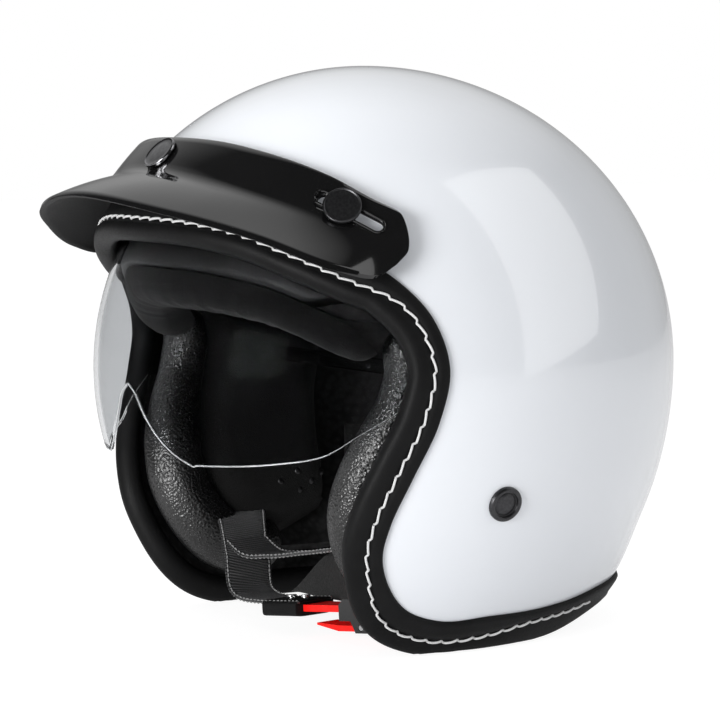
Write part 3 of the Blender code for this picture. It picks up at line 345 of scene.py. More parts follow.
def lip_half():
    """Half of the edging's lip line, brow to nape, as (angle, height)."""
    return [(0, BROW_HEIGHT), (20, BROW_HEIGHT - 0.0015), (38, BROW_HEIGHT - 0.0075),
            (TEMPLE_ANGLE - 10, TEMPLE_HEIGHT + 0.011), (TEMPLE_ANGLE, TEMPLE_HEIGHT),
            (EAR_ANGLE - 3, EAR_HEIGHT + 0.0195), (EAR_ANGLE, EAR_HEIGHT),
            (EAR_ANGLE - 2, EAR_HEIGHT - 0.0205), (CHEEK_ANGLE + 5.4, CHEEK_HEIGHT + 0.0305),
            (CHEEK_ANGLE + 1.4, CHEEK_HEIGHT + 0.012), (CHEEK_ANGLE, CHEEK_HEIGHT),
            (CHEEK_ANGLE + 1.4, CHEEK_HEIGHT - 0.013), (CHEEK_ANGLE + 6.4, LOWER_EDGE_HEIGHT + 0.0055),
            (CHEEK_ANGLE + 15, LOWER_EDGE_HEIGHT), (90, LOWER_EDGE_HEIGHT), (106, LOWER_EDGE_HEIGHT),
            (118, LOWER_EDGE_HEIGHT + 0.0010), (134, NAPE_HEIGHT - 0.0008), (155, NAPE_HEIGHT - 0.0003),
            (180, NAPE_HEIGHT)]


def half_lip():
    """Smooth lip line of the wearer's left half, brow to nape."""
    return on_shell(curve_through([shell_spot(angle, height) for angle, height in lip_half()]))


def lip_loop(count):
    """Closed lip line, from the brow round the wearer's left to the nape and back."""
    left = [shell_spot(angle, height) for angle, height in lip_half()]
    right = [spot * (-1, 1, 1) for spot in left[-2:0:-1]]
    dense = curve_through(left + right, closed=True)
    return on_shell(evenly(dense, count, closed=True))


def away_from_shell(loop):
    """Unit directions in the shell's face, square to the lip line, pointing into the opening."""
    closed = np.linalg.norm(loop[0] - loop[-1]) < 2 * np.linalg.norm(loop[0] - loop[1])
    ring = np.vstack([loop[-1:], loop, loop[:1]]) if closed else loop
    along = np.gradient(ring, axis=0)
    along = unit(along[1:-1] if closed else along)
    across = unit(np.cross(along, shell_normal(loop)))
    flip = np.where(across @ POLE > 0, -1.0, 1.0)
    return across * np.median(flip)


def beyond_lip(loop, distance, inset=0.0):
    """The loop moved in the shell's face by distance towards the opening, then sunk by inset."""
    shift = np.broadcast_to(np.asarray(distance, float), (len(loop),))[:, None]
    sunk = np.broadcast_to(np.asarray(inset, float), (len(loop),))
    return on_shell(loop + away_from_shell(loop) * shift, sunk)


def liner_inset(points):
    """How far the foam's inner face lies below the shell's face: thick on top, thin at the cheeks."""
    low = smooth(-on_shell(points)[..., 2], -0.050, 0.050)
    return LINER_CROWN_INSET + (LINER_CHEEK_INSET - LINER_CROWN_INSET) * low


def trim_cover(loop):
    """How far the shell runs on under the edging: further along the lower edge, less at the nape."""
    lower = TRIM_LOWER_EXTRA * smooth(-loop[:, 2], 0.070, 0.095)
    return TRIM_COVER + lower - TRIM_REAR_LESS * smooth(loop[:, 1], 0.042, 0.090)


def snap_spots():
    """Places of the three press snaps on the shell."""
    spots = {"center": shell_spot(0, BROW_HEIGHT + SNAP_RISE)}
    for side, sign in SIDES:
        spots[side] = shell_spot(sign * SNAP_SIDE_ANGLE, BROW_HEIGHT + SNAP_RISE - SNAP_SIDE_DROP)
    return spots


def piece(name, points, faces, finish, body="helmet", nodes=(), slot=None, sharp=40.0):
    """One piece of the helmet from points about the shell's middle, smooth, riding on a body."""
    mesh = bpy.data.meshes.new(name)
    mesh.from_pydata((np.asarray(points, float) + MIDDLE).tolist(), [], faces)
    shape = bmesh.new()
    shape.from_mesh(mesh)
    bmesh.ops.recalc_face_normals(shape, faces=shape.faces)
    shape.to_mesh(mesh)
    shape.free()
    obj = bpy.data.objects.new(name, mesh)
    bpy.context.collection.objects.link(obj)
    if finish is not None:
        mesh.materials.append(finish)
    mesh.shade_smooth()
    mesh.set_sharp_from_angle(angle=radians(sharp))
    if body:
        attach(obj, body)
    if nodes:
        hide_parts(*nodes)
    return obj


def grid_faces(rows, columns, start=0, wrap=False):
    """Quads of a grid of points that is stored row by row."""
    faces = []
    for r in range(rows - 1):
        for c in range(columns if wrap else columns - 1):
            near = start + r * columns + c
            side = start + r * columns + (c + 1) % columns
            faces.append((near, side, side + columns, near + columns))
    return faces


def sweep_mesh(rings, closed=False):
    """Points and faces of a solid along rings of the same count."""
    rows, columns = len(rings), len(rings[0])
    points = np.vstack(rings)
    faces = grid_faces(rows, columns, wrap=True)
    last = (rows - 1) * columns
    if closed:
        for c in range(columns):
            after = (c + 1) % columns
            faces.append((last + c, last + after, after, c))
    else:
        faces += [tuple(range(columns)), tuple(range(last, last + columns))]
    return points, faces


def lofted(lines):
    """Points and faces of a solid whose section has one point on each of the lines."""
    return sweep_mesh(list(np.stack(lines, axis=1)))


def sewn_lines(stations, sides):
    """Numbers of the first and the last point of each station's section, where a pad is sewn down."""
    first = np.arange(stations) * sides
    return np.concatenate([first, first + sides - 1])


def merged(parts):
    """Several (points, faces) as one."""
    points, faces, start = [], [], 0
    for part_points, part_faces in parts:
        points.append(part_points)
        faces += [tuple(start + k for k in face) for face in part_faces]
        start += len(part_points)
    return np.vstack(points), faces


def tube(path, radius, sides=8):
    """Points and faces of a round tube along a path."""
    path = np.asarray(path, float)
    along = unit(np.gradient(path, axis=0))
    guide = np.array((0.31, 0.52, 0.80))
    side = unit(np.cross(along, guide))
    rise = np.cross(along, side)
    turns = [tau * k / sides for k in range(sides)]
    radius = np.broadcast_to(np.asarray(radius, float), (len(path),))[:, None]
    return lofted([path + radius * (side * cos(t) + rise * sin(t)) for t in turns])


def turned(profile, spot, axis, sides=48):
    """Points and faces of a turned form from (radius, height) pairs along an axis at a spot."""
    lift = np.array(Vector((0, 0, 1)).rotation_difference(Vector(axis)).to_matrix())
    points, rings = [], []
    for radius, height in profile:
        count = sides if radius else 1
        rings.append(list(range(len(points), len(points) + count)))
        turns = [tau * k / sides for k in range(count)]
        points += [(radius * cos(t), radius * sin(t), height) for t in turns]
    faces = []
    for lower, upper in zip(rings, rings[1:]):
        for k in range(sides):
            after = (k + 1) % sides
            corners = [lower[k % len(lower)], lower[after % len(lower)], upper[after % len(upper)],
                       upper[k % len(upper)]]
            faces.append(tuple(dict.fromkeys(corners)))
    return np.array(points) @ lift.T + np.asarray(spot), faces


def add_node(tree, kind, inputs=(), **settings):
    """New node with its settings, and with its inputs as values or as sockets to link to."""
    made = tree.nodes.new(kind)
    for key, value in settings.items():
        setattr(made, key, value)
    for socket, value in dict(inputs).items():
        if isinstance(value, bpy.types.NodeSocket):
            tree.links.new(value, made.inputs[socket])
        else:
            made.inputs[socket].default_value = value
    return made


class Finish:
    """A Principled material whose colour, roughness and bump come from textures in object space."""

    def __init__(self, name, colour, roughness, sockets):
        self.made = bpy.data.materials.new(name)
        self.made.use_nodes = True
        self.tree = self.made.node_tree
        self.shader = self.tree.nodes["Principled BSDF"].inputs
        self.shader["Base Color"].default_value = (*colour, 1.0)
        self.shader["Roughness"].default_value = roughness
        for socket, value in sockets.items():
            self.shader[socket.replace("_", " ")].default_value = value
        self.place = self.node("TexCoord").outputs["Object"]
        self.textures = {}

    def node(self, kind, inputs=(), **settings):
        return add_node(self.tree, "ShaderNode" + kind, inputs, **settings)

    def texture(self, kind, *numbers):
        """Height from one of the textures below, each made once."""
        wanted = (kind, *numbers)
        if wanted not in self.textures:
            self.textures[wanted] = getattr(self, kind)(*numbers)
        return self.textures[wanted]

    def noise(self, scale, detail=3.0):
        inputs = {"Vector": self.place, "Scale": scale, "Detail": detail, "Roughness": 0.55}
        return self.node("TexNoise", inputs).outputs["Fac"]

    def pebbles(self, scale, wobble=0.35):
        """Rounded cells such as leather grain has."""
        bend = self.node("TexNoise", {"Vector": self.place, "Scale": scale * 0.5, "Detail": 2.0})
        moved = self.node("VectorMath", {0: bend.outputs["Color"], 1: (wobble / scale,) * 3},
                          operation="MULTIPLY")
        where = self.node("VectorMath", {0: self.place, 1: moved.outputs[0]}, operation="ADD")
        cells = self.node("TexVoronoi", {"Vector": where.outputs[0], "Scale": scale, "Smoothness": 0.6},
                          feature="SMOOTH_F1")
        return self.node("Math", {0: 1.0, 1: cells.outputs["Distance"]}, operation="SUBTRACT").outputs[0]

    def attribute(self, name):
        return self.node("Attribute", attribute_name=name).outputs["Fac"]

    def mixed(self, first, second, share):
        inputs = {"Factor": share, 2: self.texture(*first), 3: self.texture(*second)}
        return self.node("Mix", inputs, data_type="FLOAT").outputs[0]

    def colour_by(self, texture, dark, light, low=0.3, high=0.7):
        ramp = self.node("ValToRGB", {"Fac": self.texture(*texture)})
        first, last = ramp.color_ramp.elements
        first.position, last.position = low, high
        first.color, last.color = (*dark, 1.0), (*light, 1.0)
        self.tree.links.new(ramp.outputs["Color"], self.shader["Base Color"])

    def rough_by(self, texture, least, most):
        made = self.node("MapRange", {"Value": self.texture(*texture), "To Min": least, "To Max": most})
        self.tree.links.new(made.outputs["Result"], self.shader["Roughness"])

    def bump_by(self, texture, depth):
        made = self.node("Bump", {"Height": self.texture(*texture), "Distance": depth, "Strength": 1.0})
        self.tree.links.new(made.outputs["Normal"], self.shader["Normal"])


def finish_of(name, colour, roughness, tint=None, rough=None, bump=None, **sockets):
    """Material whose tint, roughness and bump each give a texture and what it spreads over."""
    made = Finish(name, colour, roughness, sockets)
    for step, wanted in ((made.colour_by, tint), (made.rough_by, rough), (made.bump_by, bump)):
        if wanted:
            step(*wanted)
    return made.made


def grey(level, cool=0.0):
    """Grey with a little more blue."""
    return (level, level, level + cool)


def helmet_finishes():
    """Every finish of the helmet, by a short name."""
    edge, pad, bead = ("pebbles", 1400.0), ("pebbles", 950.0, 0.6), ("pebbles", 330.0, 0.4)
    nap, twist, fine = ("noise", 1900.0, 2.0), ("noise", 4200.0, 1.0), ("noise", 2600.0, 2.0)
    wear, shine, brushed = ("noise", 900.0, 4.0), ("noise", 600.0), ("noise", 1500.0)
    matt, rib = ("noise", 1800.0, 2.0), ("attribute", "rib")
    made = {
        "paint": finish_of(
            "white_gloss_paint", (0.80, 0.825, 0.865), 0.10,
            (("noise", 9.0), (0.795, 0.82, 0.86), (0.805, 0.83, 0.87)), (("noise", 60.0), 0.16, 0.24),
            (("noise", 55.0, 1.0), 0.00002), Coat_Weight=1.0, Coat_Roughness=0.02),
        "edge": finish_of(
            "edge_leather", grey(0.006, 0.0003), 0.55,
            (("noise", 90.0), grey(0.0045, 0.0002), grey(0.007, 0.0003)), (edge, 0.62, 0.46),
            (("mixed", edge, ("noise", 300.0), 0.35), 0.00006), Specular_IOR_Level=0.14),
        "leather": finish_of(
            "pad_leather", grey(0.004, 0.0002), 0.4, (pad, grey(0.0015, 0.0001), grey(0.006, 0.0002)),
            (pad, 0.46, 0.18), (pad, 0.00038), Specular_IOR_Level=0.8),
        "gloss": finish_of(
            "black_gloss_plastic", grey(0.004, 0.0002), 0.08,
            (("noise", 30.0), grey(0.0035, 0.0002), grey(0.005, 0.0002)), (("noise", 70.0), 0.07, 0.13),
            (("noise", 140.0, 1.0), 0.00001), Coat_Weight=0.6, Coat_Roughness=0.03),
        "matt": finish_of(
            "matt_black_plastic", grey(0.004, 0.0002), 0.6,
            (("noise", 40.0), grey(0.003, 0.0002), grey(0.005, 0.0002)), (matt, 0.5, 0.7),
            (matt, 0.00004), Specular_IOR_Level=0.2),
        "moulding": finish_of(
            "moulded_black_plastic", grey(0.014, 0.0005), 0.5,
            (("noise", 40.0), grey(0.011, 0.0005), grey(0.017, 0.0005)), (fine, 0.42, 0.58),
            (fine, 0.00005), Specular_IOR_Level=0.35),
        "foam": finish_of(
            "black_foam", grey(0.020, 0.001), 0.9, (bead, grey(0.010), grey(0.026, 0.001)),
            bump=(bead, 0.0004)),
        "lens": finish_of(
            "light_smoke_lens", (0.66, 0.67, 0.68), 0.02, rough=(("noise", 120.0), 0.0, 0.02),
            Transmission_Weight=1.0, IOR=1.04),
        # Pale opaque finish for the bead round the lens's rim: a painted highlight where the clear edge
        # catches the light.
        "lens_rim_highlight": finish_of(
            "painted_lens_rim_highlight", (0.55, 0.56, 0.57), 0.18,
            (("noise", 200.0), (0.48, 0.49, 0.50), (0.60, 0.61, 0.62)), (("noise", 900.0), 0.12, 0.24),
            Coat_Weight=0.5),
        "metal": finish_of(
            "dark_snap_metal", grey(0.055, 0.003), 0.32, (wear, grey(0.045, 0.003), grey(0.075, 0.003)),
            (wear, 0.26, 0.40), (wear, 0.00002), Metallic=0.9),
        "chrome": finish_of(
            "dark_chrome", grey(0.30, 0.01), 0.14, (shine, grey(0.26, 0.01), grey(0.34, 0.01)),
            (shine, 0.10, 0.20), (shine, 0.00001), Metallic=1.0),
        "steel": finish_of(
            "bright_steel", grey(0.60, 0.01), 0.25, (brushed, grey(0.52, 0.01), grey(0.66, 0.01)),
            (brushed, 0.20, 0.34), (brushed, 0.00001), Metallic=1.0),
        "red": finish_of(
            "red_plastic", (0.92, 0.010, 0.006), 0.32,
            (("noise", 260.0), (0.88, 0.007, 0.004), (0.95, 0.012, 0.008)),
            (("noise", 1800.0), 0.28, 0.40), (("noise", 2200.0, 2.0), 0.00003), Specular_IOR_Level=0.3),
        # Webbing colour runs from near black in the hollows between the ribs to grey on the rib tops, by the
        # rib attribute mixed with the yarn's noise: painted shade in the hollows and a painted sheen on the
        # tops.
        "webbing": finish_of(
            "black_webbing", grey(0.014, 0.001), 0.7,
            (("mixed", fine, rib, 0.75), grey(0.004, 0.0003), grey(0.085, 0.003), 0.45, 0.90),
            (fine, 0.30, 0.5), (fine, 0.0002), Sheen_Weight=0.15, Specular_IOR_Level=0.7)}
    for key, name, level in (("fabric", "lining_fabric", 0.006), ("soft", "soft_fabric", 0.02)):
        made[key] = finish_of(name, grey(level), 0.95, (nap, grey(level * 0.5), grey(level * 1.6)),
                              bump=(nap, 0.00035), Sheen_Weight=0.10, Sheen_Roughness=0.45,
                              Specular_IOR_Level=0.2)
    for name, level in (("white_thread", 0.72), ("grey_thread", 0.30)):
        made[name] = finish_of(name, grey(level), 0.75, (twist, grey(level * 0.82), grey(level * 1.08)),
                               bump=(twist, 0.00012), Sheen_Weight=0.2)
    return made


def dome_rays(edge, rings):
    """Rings of rays that spread from the pole to an edge."""
    rays = unit(edge)
    angle = np.arccos(np.clip(rays @ POLE, -1, 1))[:, None]
    shares = [k / rings for k in range(1, rings + 1)]
    return [(np.sin((1 - s) * angle) * POLE + np.sin(s * angle) * rays) / np.sin(angle) for s in shares]


def dome_faces(rings, count):
    """Faces of a dome of two layers joined at the rim, and the number of the second layer's pole."""
    second = 1 + rings * count
    faces = grid_faces(rings, count, 1, wrap=True) + grid_faces(rings, count, second + 1, wrap=True)
    rim = 1 + (rings - 1) * count
    for c in range(count):
        after = (c + 1) % count
        faces += [(0, 1 + c, 1 + after), (second, second + 1 + c, second + 1 + after)]
        faces.append((rim + c, rim + after, second + rim + after, second + rim + c))
    return faces, second


def shell_piece(finish, inside):
    """Outer shell as a thin dome with its flare at the nape."""
    loop = lip_loop(384)
    rings = 72
    rays = np.vstack(dome_rays(beyond_lip(loop, trim_cover(loop)), rings))
    layers = []
    for inset in (0.0, SHELL_WALL):
        layers += [on_shell(POLE[None], inset), flared(on_shell(rays, inset))]
    faces, second = dome_faces(rings, len(loop))
    made = piece("shell_skin", np.vstack(layers), faces, finish, nodes=["outer_shell"], slot="white_shell")
    made.data.materials.append(inside)
    for face in made.data.polygons:
        face.material_index = int(min(face.vertices) >= second)


def stitch_line(loop):
    """Distance of the stitches from the lip line: more at the brow and below the cheek, less behind."""
    height = loop[:, 2]
    brow = STITCH_BROW_EXTRA * smooth(height, 0.035, 0.062)
    brow = brow + STITCH_SIDE_EXTRA * smooth(height, 0.036, 0.052) * (1 - smooth(height, 0.062, 0.072))
    behind = smooth(loop[:, 1], -0.005, 0.028)
    lower = STITCH_LOWER_EXTRA * smooth(-loop[:, 2], 0.070, 0.092) * (1 - behind)
    return STITCH_LINE + brow + lower - STITCH_REAR_LESS * behind


def trim_section(cover, stitch):
    """Edging across its width as (distance past the lip line, depth below the shell's face)."""
    rise, deep, ease, groove = TRIM_RISE, TRIM_DEEP, TRIM_EASE, TRIM_GROOVE - TRIM_RISE
    flat = [(0.0, -0.0002), (0.0, -0.6 * rise), (0.0005, -0.92 * rise), (ease, -rise),
            (0.5 * stitch, -1.04 * rise), (stitch - ease, -rise), (stitch - ease / 2, groove),
            (stitch + ease / 2, groove), (stitch + ease, -1.02 * rise)]
    middle, half = (deep - rise) / 2, (deep + rise) / 2 + 0.0004
    nose = []
    for k in range(TRIM_NOSE_POINTS):
        turn = pi * k / (TRIM_NOSE_POINTS - 1)
        lean = TRIM_NOSE * sin(turn) ** 0.8
        nose.append((max(cover, stitch + TRIM_NOSE_START) + lean, middle - half * cos(turn)))
    back = [(cover - 0.003, deep - 0.0005), (cover - 0.0045, 0.0062), (cover - 0.0045, 0.0042),
            (cover + 0.0003, 0.0042), (cover + 0.0003, -0.0002)]
    return flat + nose + back


def narrow_section(cover, stitch):
    """The same edging where it is too narrow for stitches, with as many points."""
    full = trim_section(cover, stitch)
    lead = len(full) - TRIM_NOSE_POINTS - TRIM_BACK_POINTS
    rise, ease = TRIM_RISE, TRIM_EASE
    flat = [(0.0, -0.0002), (0.0, -0.6 * rise), (0.0005, -0.92 * rise)]
    flat += [(ease + (cover - ease) * k / (lead - 3), -rise) for k in range(lead - 3)]
    shift = max(cover, stitch + TRIM_NOSE_START) - cover
    nose, back = full[lead:-TRIM_BACK_POINTS], full[-TRIM_BACK_POINTS:]
    return flat + [(far - shift, sunk) for far, sunk in nose] + back


def edging_rings(loop):
    """Ring of section points at each station of the lip line."""
    cover = trim_cover(loop)
    narrow = smooth(loop[:, 1], 0.045, 0.080)
    stitch = stitch_line(loop)
    wide = np.array([trim_section(c, line) for c, line in zip(cover, stitch)])
    thin = np.array([narrow_section(c, line) for c, line in zip(cover, stitch)])
    section = wide + (thin - wide) * narrow[:, None, None]
    across = away_from_shell(loop)
    rings = []
    for k in range(section.shape[1]):
        rings.append(flared(on_shell(loop + across * section[:, k, :1], section[:, k, 1])))
    rings = np.stack(rings, axis=1)
    rings[..., 2] = np.maximum(rings[..., 2], -MIDDLE[2])
    return rings


def edging(finish, yarn):
    """Leather edging all round, and its stitches as one slanted thread that dips between them."""
    loop = lip_loop(560)
    points, faces = sweep_mesh(list(edging_rings(loop)), closed=True)
    piece("edge_leather", points, faces, finish, nodes=["edge_trim"], slot="edge_leather", sharp=60.0)
    rear = np.flatnonzero(loop[:, 1] > STITCH_REAR_END)
    sewn = np.roll(loop, -rear[-1] - 1, axis=0)[:len(loop) - len(rear)]
    line = evenly(beyond_lip(sewn, stitch_line(sewn)), 2400)
    share = lengths(line) / STITCH_PITCH % 1.0
    slant = np.minimum(share / STITCH_SHARE, 1.0)
    shift = STITCH_JOG * (0.5 - slant + smooth(share, STITCH_SHARE, 1.0))
    lift = TRIM_RISE - 0.0004 + 0.0006 * np.sin(pi * slant) ** 0.5
    line = on_shell(line + away_from_shell(line) * shift[:, None], -lift)
    piece("edge_stitches", *tube(flared(line), THREAD_RADIUS), yarn, slot="edge_leather")


def peak_lines():
    """Top edge, crease and brim edge of the peak, side to side, on its upper face."""
    lift, snap = PEAK_STANDOFF + PEAK_THICKNESS, BROW_HEIGHT + SNAP_RISE
    top = [(0, 0.0065), (26.5, 0.0031), (48, -0.0076), (58, -0.0162), (62.0, -0.0192), (63.8, -0.0208)]
    crease = [(0, -0.0062), (24, -0.0108), (46.1, -0.0212), (56.9, -0.0282), (62.0, -0.0316),
              (64.3, -0.0330)]
    brim = [(0, -0.033, -0.0077), (0.0008, -0.0306, -0.0079), (0.0039, -0.0286, -0.0071),
            (0.0068, -0.0205, -0.0110), (0.0042, -0.0135, -0.0112), (0.0022, -0.0085, -0.0088)]
    on_top, on_crease = (on_shell([shell_spot(a, snap + h) for a, h in marks], -lift)
                         for marks in (top, crease))
    lines = []
    for half in (on_top, on_crease, on_crease + np.array(brim)):
        lines.append(evenly(curve_through(np.vstack([half[:0:-1] * (-1, 1, 1), half])), 241))
    return lines


def peak_surface():
    """Upper face of the peak as rows of points from its top edge over the crease to the brim edge."""
    top, crease, brim = peak_lines()
    band = np.linspace(0, 1, PEAK_CREASE_ROW + 1)
    slope = np.linspace(0, 1, 15)[1:]
    lift = PEAK_STANDOFF + PEAK_THICKNESS
    rows = [on_shell(top + (crease - top) * s, -lift) for s in band]
    for s in slope:
        line = crease + (brim - crease) * s
        line[:, 2] += PEAK_BOW * 4 * s * (1 - s)
        rows.append(line)
    grid = np.stack(rows, axis=1)
    first, last = PEAK_CREASE_ROW - 1, PEAK_CREASE_ROW + 3
    for _ in range(2):
        beside = grid[:, first - 1:last - 1] + grid[:, first + 1:last + 1]
        grid[:, first:last] = (beside + 2 * grid[:, first:last]) / 4
    way = np.concatenate([band / 2, 0.5 + slope / 2])[None, :, None]
    bend = 2 * crease - (top + brim) / 2
    curved = ((1 - way) ** 2 * top[:, None] + 2 * way * (1 - way) * bend[:, None] + way ** 2 * brim[:, None])
    return grid + (curved - grid) * smooth(np.abs(front_angle(crease)), 25.0, 52.0)[:, None, None]


def rounded_ends(grid):
    """Draws the corners of the peak's ends in to a round."""
    row = PEAK_CREASE_ROW
    middle = grid[:, row:row + 1]
    along = lengths(middle[:, 0])
    made = grid.copy()
    for rows, edge, size in ((slice(0, row), 0, PEAK_TOP_ROUND),
                             (slice(row + 1, None), -1, PEAK_BRIM_ROUND)):
        inside = np.clip(np.minimum(along, along[-1] - along) / size, 0.0, 1.0)
        corner = size * (1 - np.sqrt(np.clip(1 - (1 - inside) ** 2, 0, 1)))
        reach = np.linalg.norm(grid[:, edge] - middle[:, 0], axis=1)
        share = ((reach - corner) / reach)[:, None, None]
        made[:, rows] = middle + (grid[:, rows] - middle) * share
    return made


def peak_piece(finish, under):
    """Peak with rounded ends, a matt underside and two rimmed slots beside its snaps."""
    plain = peak_surface()
    along, down = np.gradient(plain, axis=(0, 1))[:2]
    out = unit(np.cross(along, down))
    out *= np.sign(np.sum(out * plain, axis=-1, keepdims=True))
    side = unit(down)
    upper = rounded_ends(plain)
    half = PEAK_THICKNESS / 2
    lower = upper - out * PEAK_THICKNESS
    edge_top = [upper[:, 0] - out[:, 0] * half - side[:, 0] * half]
    edge_brim = [upper[:, -1] - out[:, -1] * half + side[:, -1] * half]
    lines = [upper[:, k] for k in range(upper.shape[1])] + edge_brim
    lines += [lower[:, k] for k in range(lower.shape[1] - 1, -1, -1)] + edge_top
    points, faces = lofted(lines)
    rows, count = upper.shape[1], len(lines)
    faces = faces[:-2]
    for first in (0, len(points) - count):
        low = first + count - 2
        faces += [(first + k, first + k + 1, low - k - 1, low - k) for k in range(rows - 1)]
        faces += [(first + rows - 1, first + rows, first + rows + 1), (first, low, low + 1)]
    made = piece("peak_moulding", points, faces, finish, nodes=["peak"], slot="black_gloss", sharp=50.0)
    for side_name, sign in SIDES:
        spot = snap_spots()[side_name]
        out_here = Vector(shell_normal(spot))
        slope = Vector((sign * 0.69, 0.58, -0.43))
        x = slope.cross(out_here).normalized()
        y = out_here.cross(x)
        outline = []
        for end in (1, -1):
            for k in range(13):
                turn = pi * k / 12
                outline.append((end * SLOT_WIDTH / 2 * cos(turn),
                                end * ((SLOT_LENGTH - SLOT_WIDTH) / 2 + SLOT_WIDTH / 2 * sin(turn))))
        ring = np.array([Vector(spot) + x * a + y * (b + SLOT_SHIFT) for a, b in outline])
        walls = [ring + np.array(out_here) * (PEAK_STANDOFF + lift) for lift in (-0.004, 0.010)]
        cut_away(made, *sweep_mesh(walls))
        rim = on_shell(evenly(np.vstack([ring, ring[:2]]), 90), -(PEAK_STANDOFF + PEAK_THICKNESS))
        piece(f"slot_rim_{side_name}", *tube(rim, SLOT_RIM), finish, slot="black_gloss")
    made.data.materials.append(under)
    for face in made.data.polygons:
        face.material_index = int(face.normal.dot((face.center - Vector(MIDDLE)).normalized()) < 0.1)


def swell(obj, sewn):
    """Lets a pad swell as cloth under pressure, held at its sewn points, and keeps the result."""
    scene, mesh = bpy.context.scene, obj.data
    start = np.array([point.co for point in mesh.vertices])
    obj.vertex_groups.new(name="sewn").add([int(k) for k in sewn], 1.0, "REPLACE")
    step = obj.modifiers.new("swell", "CLOTH")
    cloth = step.settings
    cloth.vertex_group_mass = "sewn"
    cloth.mass = CLOTH_MASS
    cloth.use_pressure = True
    cloth.uniform_pressure_force = CLOTH_PRESSURE
    cloth.tension_stiffness = cloth.compression_stiffness = cloth.shear_stiffness = CLOTH_STIFFNESS
    cloth.bending_stiffness = CLOTH_BENDING
    cloth.effector_weights.gravity = 0.0
    step.collision_settings.use_collision = False
    step.point_cache.frame_start, step.point_cache.frame_end = 1, CLOTH_FRAMES
    for at in range(1, CLOTH_FRAMES + 1):
        scene.frame_set(at)
    seen = obj.evaluated_get(bpy.context.evaluated_depsgraph_get())
    shift = np.array([point.co for point in seen.data.vertices]) - start
    far = np.maximum(np.linalg.norm(shift, axis=1, keepdims=True), 1e-9)
    obj.modifiers.remove(step)
    obj.vertex_groups.clear()
    scene.frame_set(1)
    mesh.vertices.foreach_set("co", (start + shift * np.minimum(1.0, CLOTH_CAP / far)).ravel())
    mesh.update()


def cut_away(obj, points, faces, operation="DIFFERENCE"):
    """Cuts a closed form out of a piece, and leaves no modifier behind."""
    tool = piece("cutting_form", points, faces, None, body=None)
    step = obj.modifiers.new("cut", "BOOLEAN")
    step.operation = operation
    step.object = tool
    seen = bpy.context.evaluated_depsgraph_get()
    result = bpy.data.meshes.new_from_object(obj.evaluated_get(seen))
    obj.modifiers.remove(step)
    obj.data = result
    bpy.data.objects.remove(tool, do_unlink=True)


def snap_caps(finish, bright):
    """Turned caps of the press snaps, the centre one brighter."""
    base, head = PEAK_STANDOFF, PEAK_STANDOFF + PEAK_THICKNESS + FIT_GAP
    shares = ((0.97, 0), (1, 0.12), (1, 0.50), (0.985, 0.66), (0.95, 0.74), (0.91, 0.70), (0.885, 0.60),
              (0.86, 0.58), (0.60, 0.66), (0.3, 0.70), (0, 0.71))
    profile = [(0, base), (SNAP_STEM_RADIUS, base), (SNAP_STEM_RADIUS, head)]
    profile += [(SNAP_CAP_RADIUS * out, head + SNAP_CAP_HEIGHT * up) for out, up in shares]
    for side, spot in snap_spots().items():
        piece(f"snap_cap_{side}_turned", *turned(profile, spot, shell_normal(spot)),
              bright if side == "center" else finish, nodes=[f"snap_cap_{side}"], slot="dark_metal")


def strap_rivets(finish):
    """Turned heads of the rivets that carry the strap."""
    shares = ((1, 0.5), (0.97, 0.8), (0.90, 1), (0.80, 1), (0.74, 0.85), (0.70, 0.35), (0.66, 0.30),
              (0.62, 0.42), (0.40, 0.56), (0, 0.60))
    profile = [(0, -HEAD_SINK), (RIVET_HEAD_RADIUS, -HEAD_SINK)]
    profile += [(RIVET_HEAD_RADIUS * out, RIVET_HEAD_HEIGHT * up) for out, up in shares]
    for side, sign in SIDES:
        spot = shell_spot(sign * ANCHOR_ANGLE, ANCHOR_HEIGHT)
        piece(f"strap_rivet_{side}_turned", *turned(profile, spot, shell_normal(spot)), finish,
              nodes=[f"strap_rivet_{side}"], slot="dark_metal")


def visor_layer(inset, slices=96, sides=144):
    """Points and faces of the visor's ellipsoid of revolution about its axis."""
    half, radius = SHELL_HALF_WIDTH - inset, SHELL_ROUND - inset
    profile = [(0 if k in (0, slices) else radius * sin(pi * k / slices), -half * cos(pi * k / slices))
               for k in range(slices + 1)]
    return turned(profile, (0, 0, 0), (1, 0, 0), sides)


